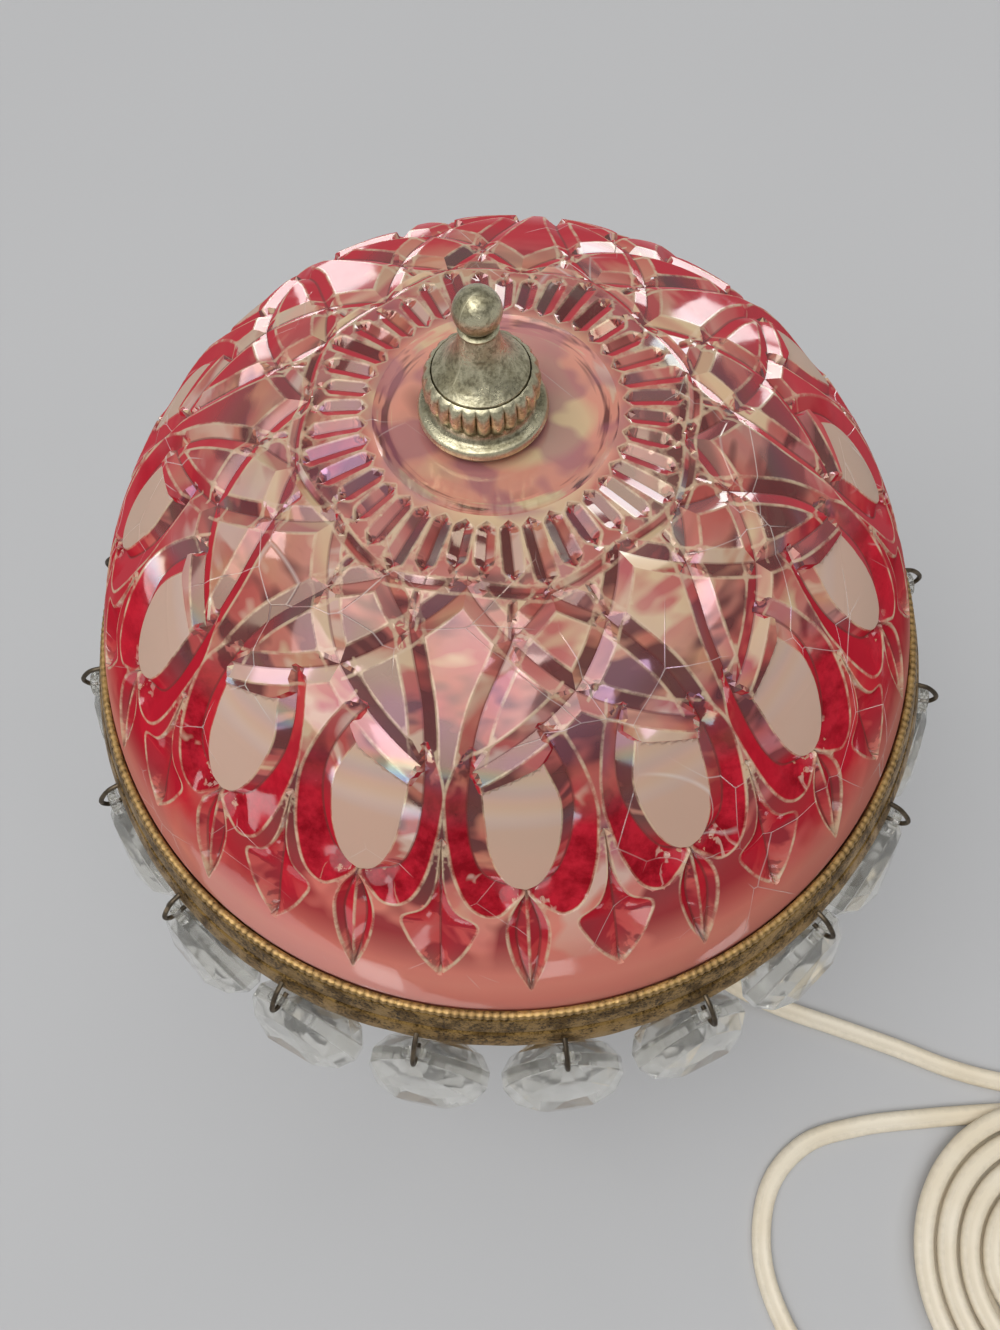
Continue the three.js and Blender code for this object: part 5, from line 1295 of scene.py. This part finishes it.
def make_harp():
    """The bow, its two sleeves, the threaded stud on top and the plate that the glass rests on."""
    foot = SADDLE_Z + 12.3

    def up(share):
        """Height at a share of the bow."""
        return foot + share * (HARP_TOP - foot)

    side = [(HARP_FOOT, foot), (HARP_FOOT, up(0.085)), (0.83 * HARP_HALF, up(0.21)), (HARP_HALF, up(0.4)),
            (HARP_HALF, up(0.64)), (0.83 * HARP_HALF, up(0.86)), (0.42 * HARP_HALF, up(0.977))]
    path = side + [(0, HARP_TOP)] + [(-x, z) for x, z in side[::-1]]
    line = evenly(centripetal([(x + STEM_X, 0, z) for x, z in path], 400), 1.2)
    dress(sweep("harp_bow", line, round_section(1.96, 24), up=(0, 1, 0)), "bright_brass", "harp")
    sleeve = [(2.3, 0), (3.0, 0), (3.2, 0.3), (3.2, 1.6), (3.0, 1.9), (3.2, 2.2), (3.2, 10.6), (3.0, 10.9),
              (3.2, 11.2), (3.2, 12.6), (3.0, 13), (2.3, 13), (2.3, 0)]
    for label, sign in (("left", -1), ("right", 1)):
        spun(f"harp_sleeve_{label}", sleeve, (0, 0, 1), (STEM_X + sign * HARP_FOOT, 0, SADDLE_Z + 1.7),
             "bright_brass", f"harp_ferrule_{label}", columns=64, corner=0.1)
    stud = [(0, 214.3), (6, 214.3), (6, 216.7), (3.1, 216.7)]
    rows = np.linspace(217, 229.6, 130)
    stud = stud + [(3.1, z) for z in rows] + [(2.3, 230.9), (0, 230.9)]
    stud_piece = revolve("harp_screw", stud, 64, reach=threaded(14, 0.35, 217.5, 229.5, 2.9))
    dress(stud_piece, "steel", "harp_stud")
    rest = [(3.35, 217), (11, 217), (11.6, 216.9), (15.4, 215.5), (16, 215.4), (16, 216.4), (11.8, 217.9),
            (11.2, 218), (3.35, 218), (3.35, 217)]
    turned_piece("rest_plate", rest, "bright_brass", "shade_rest", corner=0.2)


make_harp()

# %% [markdown]
# ## Strain relief and plug
# The relief is a ribbed taper over the cord's first 20 mm. The plug is moulded, with finger grips.

# %%
RING_PITCH = 2.2


def make_relief():
    """The strain relief: a plug in the base's wall, a collar and a taper round the cord."""
    way = (math.cos(CORD_ANGLE), math.sin(CORD_ANGLE), 0)
    taper = [(3.6 - 0.62 * t, 50 + 18 * t) for t in np.linspace(0, 1, 100)]
    profile = [(0, 35), (3.15, 35), (3.15, 47.3), (4.2, 47.3), (4.2, 49), (3.9, 49.4), *taper, (0, 68)]

    def ribbed(_, r, z):
        """Rings cut into the taper that let it bend."""
        held = np.clip((z - 50.5) / 1.5, 0, 1) * np.clip((67.4 - z) / 1.2, 0, 1) * (r > 2.5)
        return r - 0.5 * held * (np.cos(2 * np.pi * z / RING_PITCH) > 0.35), z

    spun("cord_relief", profile, way, (STEM_X, 0, CORD_HEIGHT), "ivory_plastic", "cord_bushing",
         reach=ribbed, corner=0.15)


def make_plug():
    """Rings of a rounded oval along X, narrow round the cord and wide at the face, with grip grooves."""
    start = COIL_CENTRE[0] + CORD_WIDTH + 0.3 + TAIL_LENGTH + 0.3
    y, z = COIL_CENTRE[1] + COIL_RADIUS, CORD_REST + LAYER_RISE
    along = [0, 4, 12, 16, 21, 33, 34.4, 35]
    wide = [3.3, 3.7, 4.6, 8.9, 10.9, 10.9, 10.5, 9.8]
    deep = [1.95, 2.2, 2.75, 3.8, 4.7, 4.7, 4.3, 3.7]
    steps = np.linspace(0, 35, 90)
    turn = np.linspace(0, 2 * np.pi, 64, endpoint=False)
    grip = 0.35 * (np.abs((steps - 24) % 3 - 1.5) < 0.6) * ((steps > 22.5) & (steps < 31.5))
    ribs = 0.35 * (np.abs(steps % 2.4 - 1.2) < 0.5) * (steps < 11)
    w = np.interp(steps, along, wide) - grip - ribs
    d = np.interp(steps, along, deep) - grip * 0.6 - ribs * 0.5

    def shape(v):
        """Fills a circle's sine or cosine out towards a rounded rectangle."""
        return np.sign(v) * np.abs(v) ** 0.72

    rings = np.stack([np.broadcast_to((start + steps)[:, None], (90, 64)),
                      y + w[:, None] * shape(np.cos(turn)), z + d[:, None] * shape(np.sin(turn))], -1)
    piece = tube("plug_moulded", rings, (start, y, z), (start + 35, y, z), crease=40)
    return dress(piece, "ivory_plastic", "plug_body")


def lay_cord():
    """The cord along its route and its moulded plug, gathered with the two blades that go where the cord's
    end goes.
    """
    cord, line = make_cord()
    plug = [make_plug()] + [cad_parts[n] for n in ("plug_blade_left", "plug_blade_right")]


make_relief()
lay_cord()

# %% [markdown]
# ## Pieces that stay as they are
# These solids have the right shape already, so they keep it and get a better material.

# %%
CAD_FINISH = {
    "harp_saddle": "bright_brass", "stem_pipe": "bright_brass", "centre_contact": "bright_brass",
    "lock_washer": "steel", "lock_nut": "steel", "plug_blade_left": "steel", "plug_blade_right": "steel",
    "cord_in_stem": "ivory_plastic",
}
for name, finish in CAD_FINISH.items():
    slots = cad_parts[name].data.materials
    slots.clear()
    slots.append(FINISH[finish])
    print(name, "keeps its shape,", finish)

# %% [markdown]
# ## Floor and light
# A pale floor, a wide soft sun and a studio sky light a white card to nearly 0.9 of white, near and far.
# The sky is pale near the horizon, dark above it and bright overhead: under an even sky the glass
# mirrors white from all sides and its red washes out. Nine small soft boxes add the glints that show
# a cut surface. One large lamp would light as well, but every facet that faces it would turn white.

# %%
FLOOR_TONE, AIM = (0.56, 0.56, 0.565), (0, 0, 0.16)
BOX_SIZE, BOX_POWER, BACK_BOX_POWER = 0.15, 0.3, 0.12
SUN_WIDTH, SUN_POWER = math.radians(50), 1.3
PALE_SKY, DARK_SKY, TOP_LIGHT = 0.5, 0.1, 0.75
HORIZON_ENDS, TOP_STARTS = (0.30, 0.44), (0.74, 0.86)
SOFT_BOXES = [(-0.75, 0.3, 1.0), (-0.45, -0.75, 0.95), (0.1, -1.0, 0.8), (0.6, -0.6, 1.1), (0.8, 0.2, 0.9),
              (0.45, 0.8, 0.8), (-0.3, 0.95, 0.7), (-0.9, -0.2, 0.6), (0.0, -0.35, 1.4)]


def make_floor():
    """A 40 m square with a faint unevenness of tone, and no edge in the picture."""
    size = 20000
    corners = np.array([(-size, -size, 0), (size, -size, 0), (size, size, 0), (-size, size, 0)])
    floor = build("floor", corners, np.array([(0, 1, 2, 3)]))
    material, tree, shader = new_material("pale_floor", Roughness=0.75)
    tone = remap(tree, noise(tree, place_of(tree), 3, 2), 0.3, 0.7)
    feed(tree, shader, Base_Color=mixed(tree, tone, FLOOR_TONE, tuple(0.97 * c for c in FLOOR_TONE)))
    floor.data.materials.append(material)


def place_lamp(name, data, place):
    """A lamp at a place in metres, turned to face the shade."""
    lamp = new_object(name, data)
    lamp.location = place
    lamp.rotation_euler = (Vector(AIM) - Vector(place)).to_track_quat("-Z", "Y").to_euler()


def make_light():
    """The soft boxes, the sun, the studio sky and the view."""
    for number, place in enumerate(SOFT_BOXES):
        box = bpy.data.lights.new(f"soft_box_{number}", "AREA")
        box.size, box.energy = BOX_SIZE, BOX_POWER if place[1] < 0.5 else BACK_BOX_POWER
        place_lamp(box.name, box, place)
    sun = bpy.data.lights.new("sun", "SUN")
    sun.angle, sun.energy = SUN_WIDTH, SUN_POWER
    place_lamp("sun", sun, (-0.5, -0.4, 1.5))
    world = bpy.data.worlds.new("studio")
    world.use_nodes = True
    tree, sky = world.node_tree, world.node_tree.nodes["Background"]
    sky.inputs["Color"].default_value = (0.98, 0.99, 1, 1)
    way = add(tree, "SeparateXYZ", {0: add(tree, "TexCoord").outputs["Generated"]}).outputs["Z"]
    walls = remap(tree, way, *HORIZON_ENDS, PALE_SKY, DARK_SKY)
    overhead = remap(tree, way, *TOP_STARTS, 0, TOP_LIGHT)
    feed(tree, sky, Strength=maths(tree, "ADD", walls, overhead))
    bpy.context.scene.world = world
    bpy.context.scene.view_settings.view_transform = "Standard"
    print("light", len(SOFT_BOXES), "soft boxes, a sun and the sky")


make_floor()
make_light()
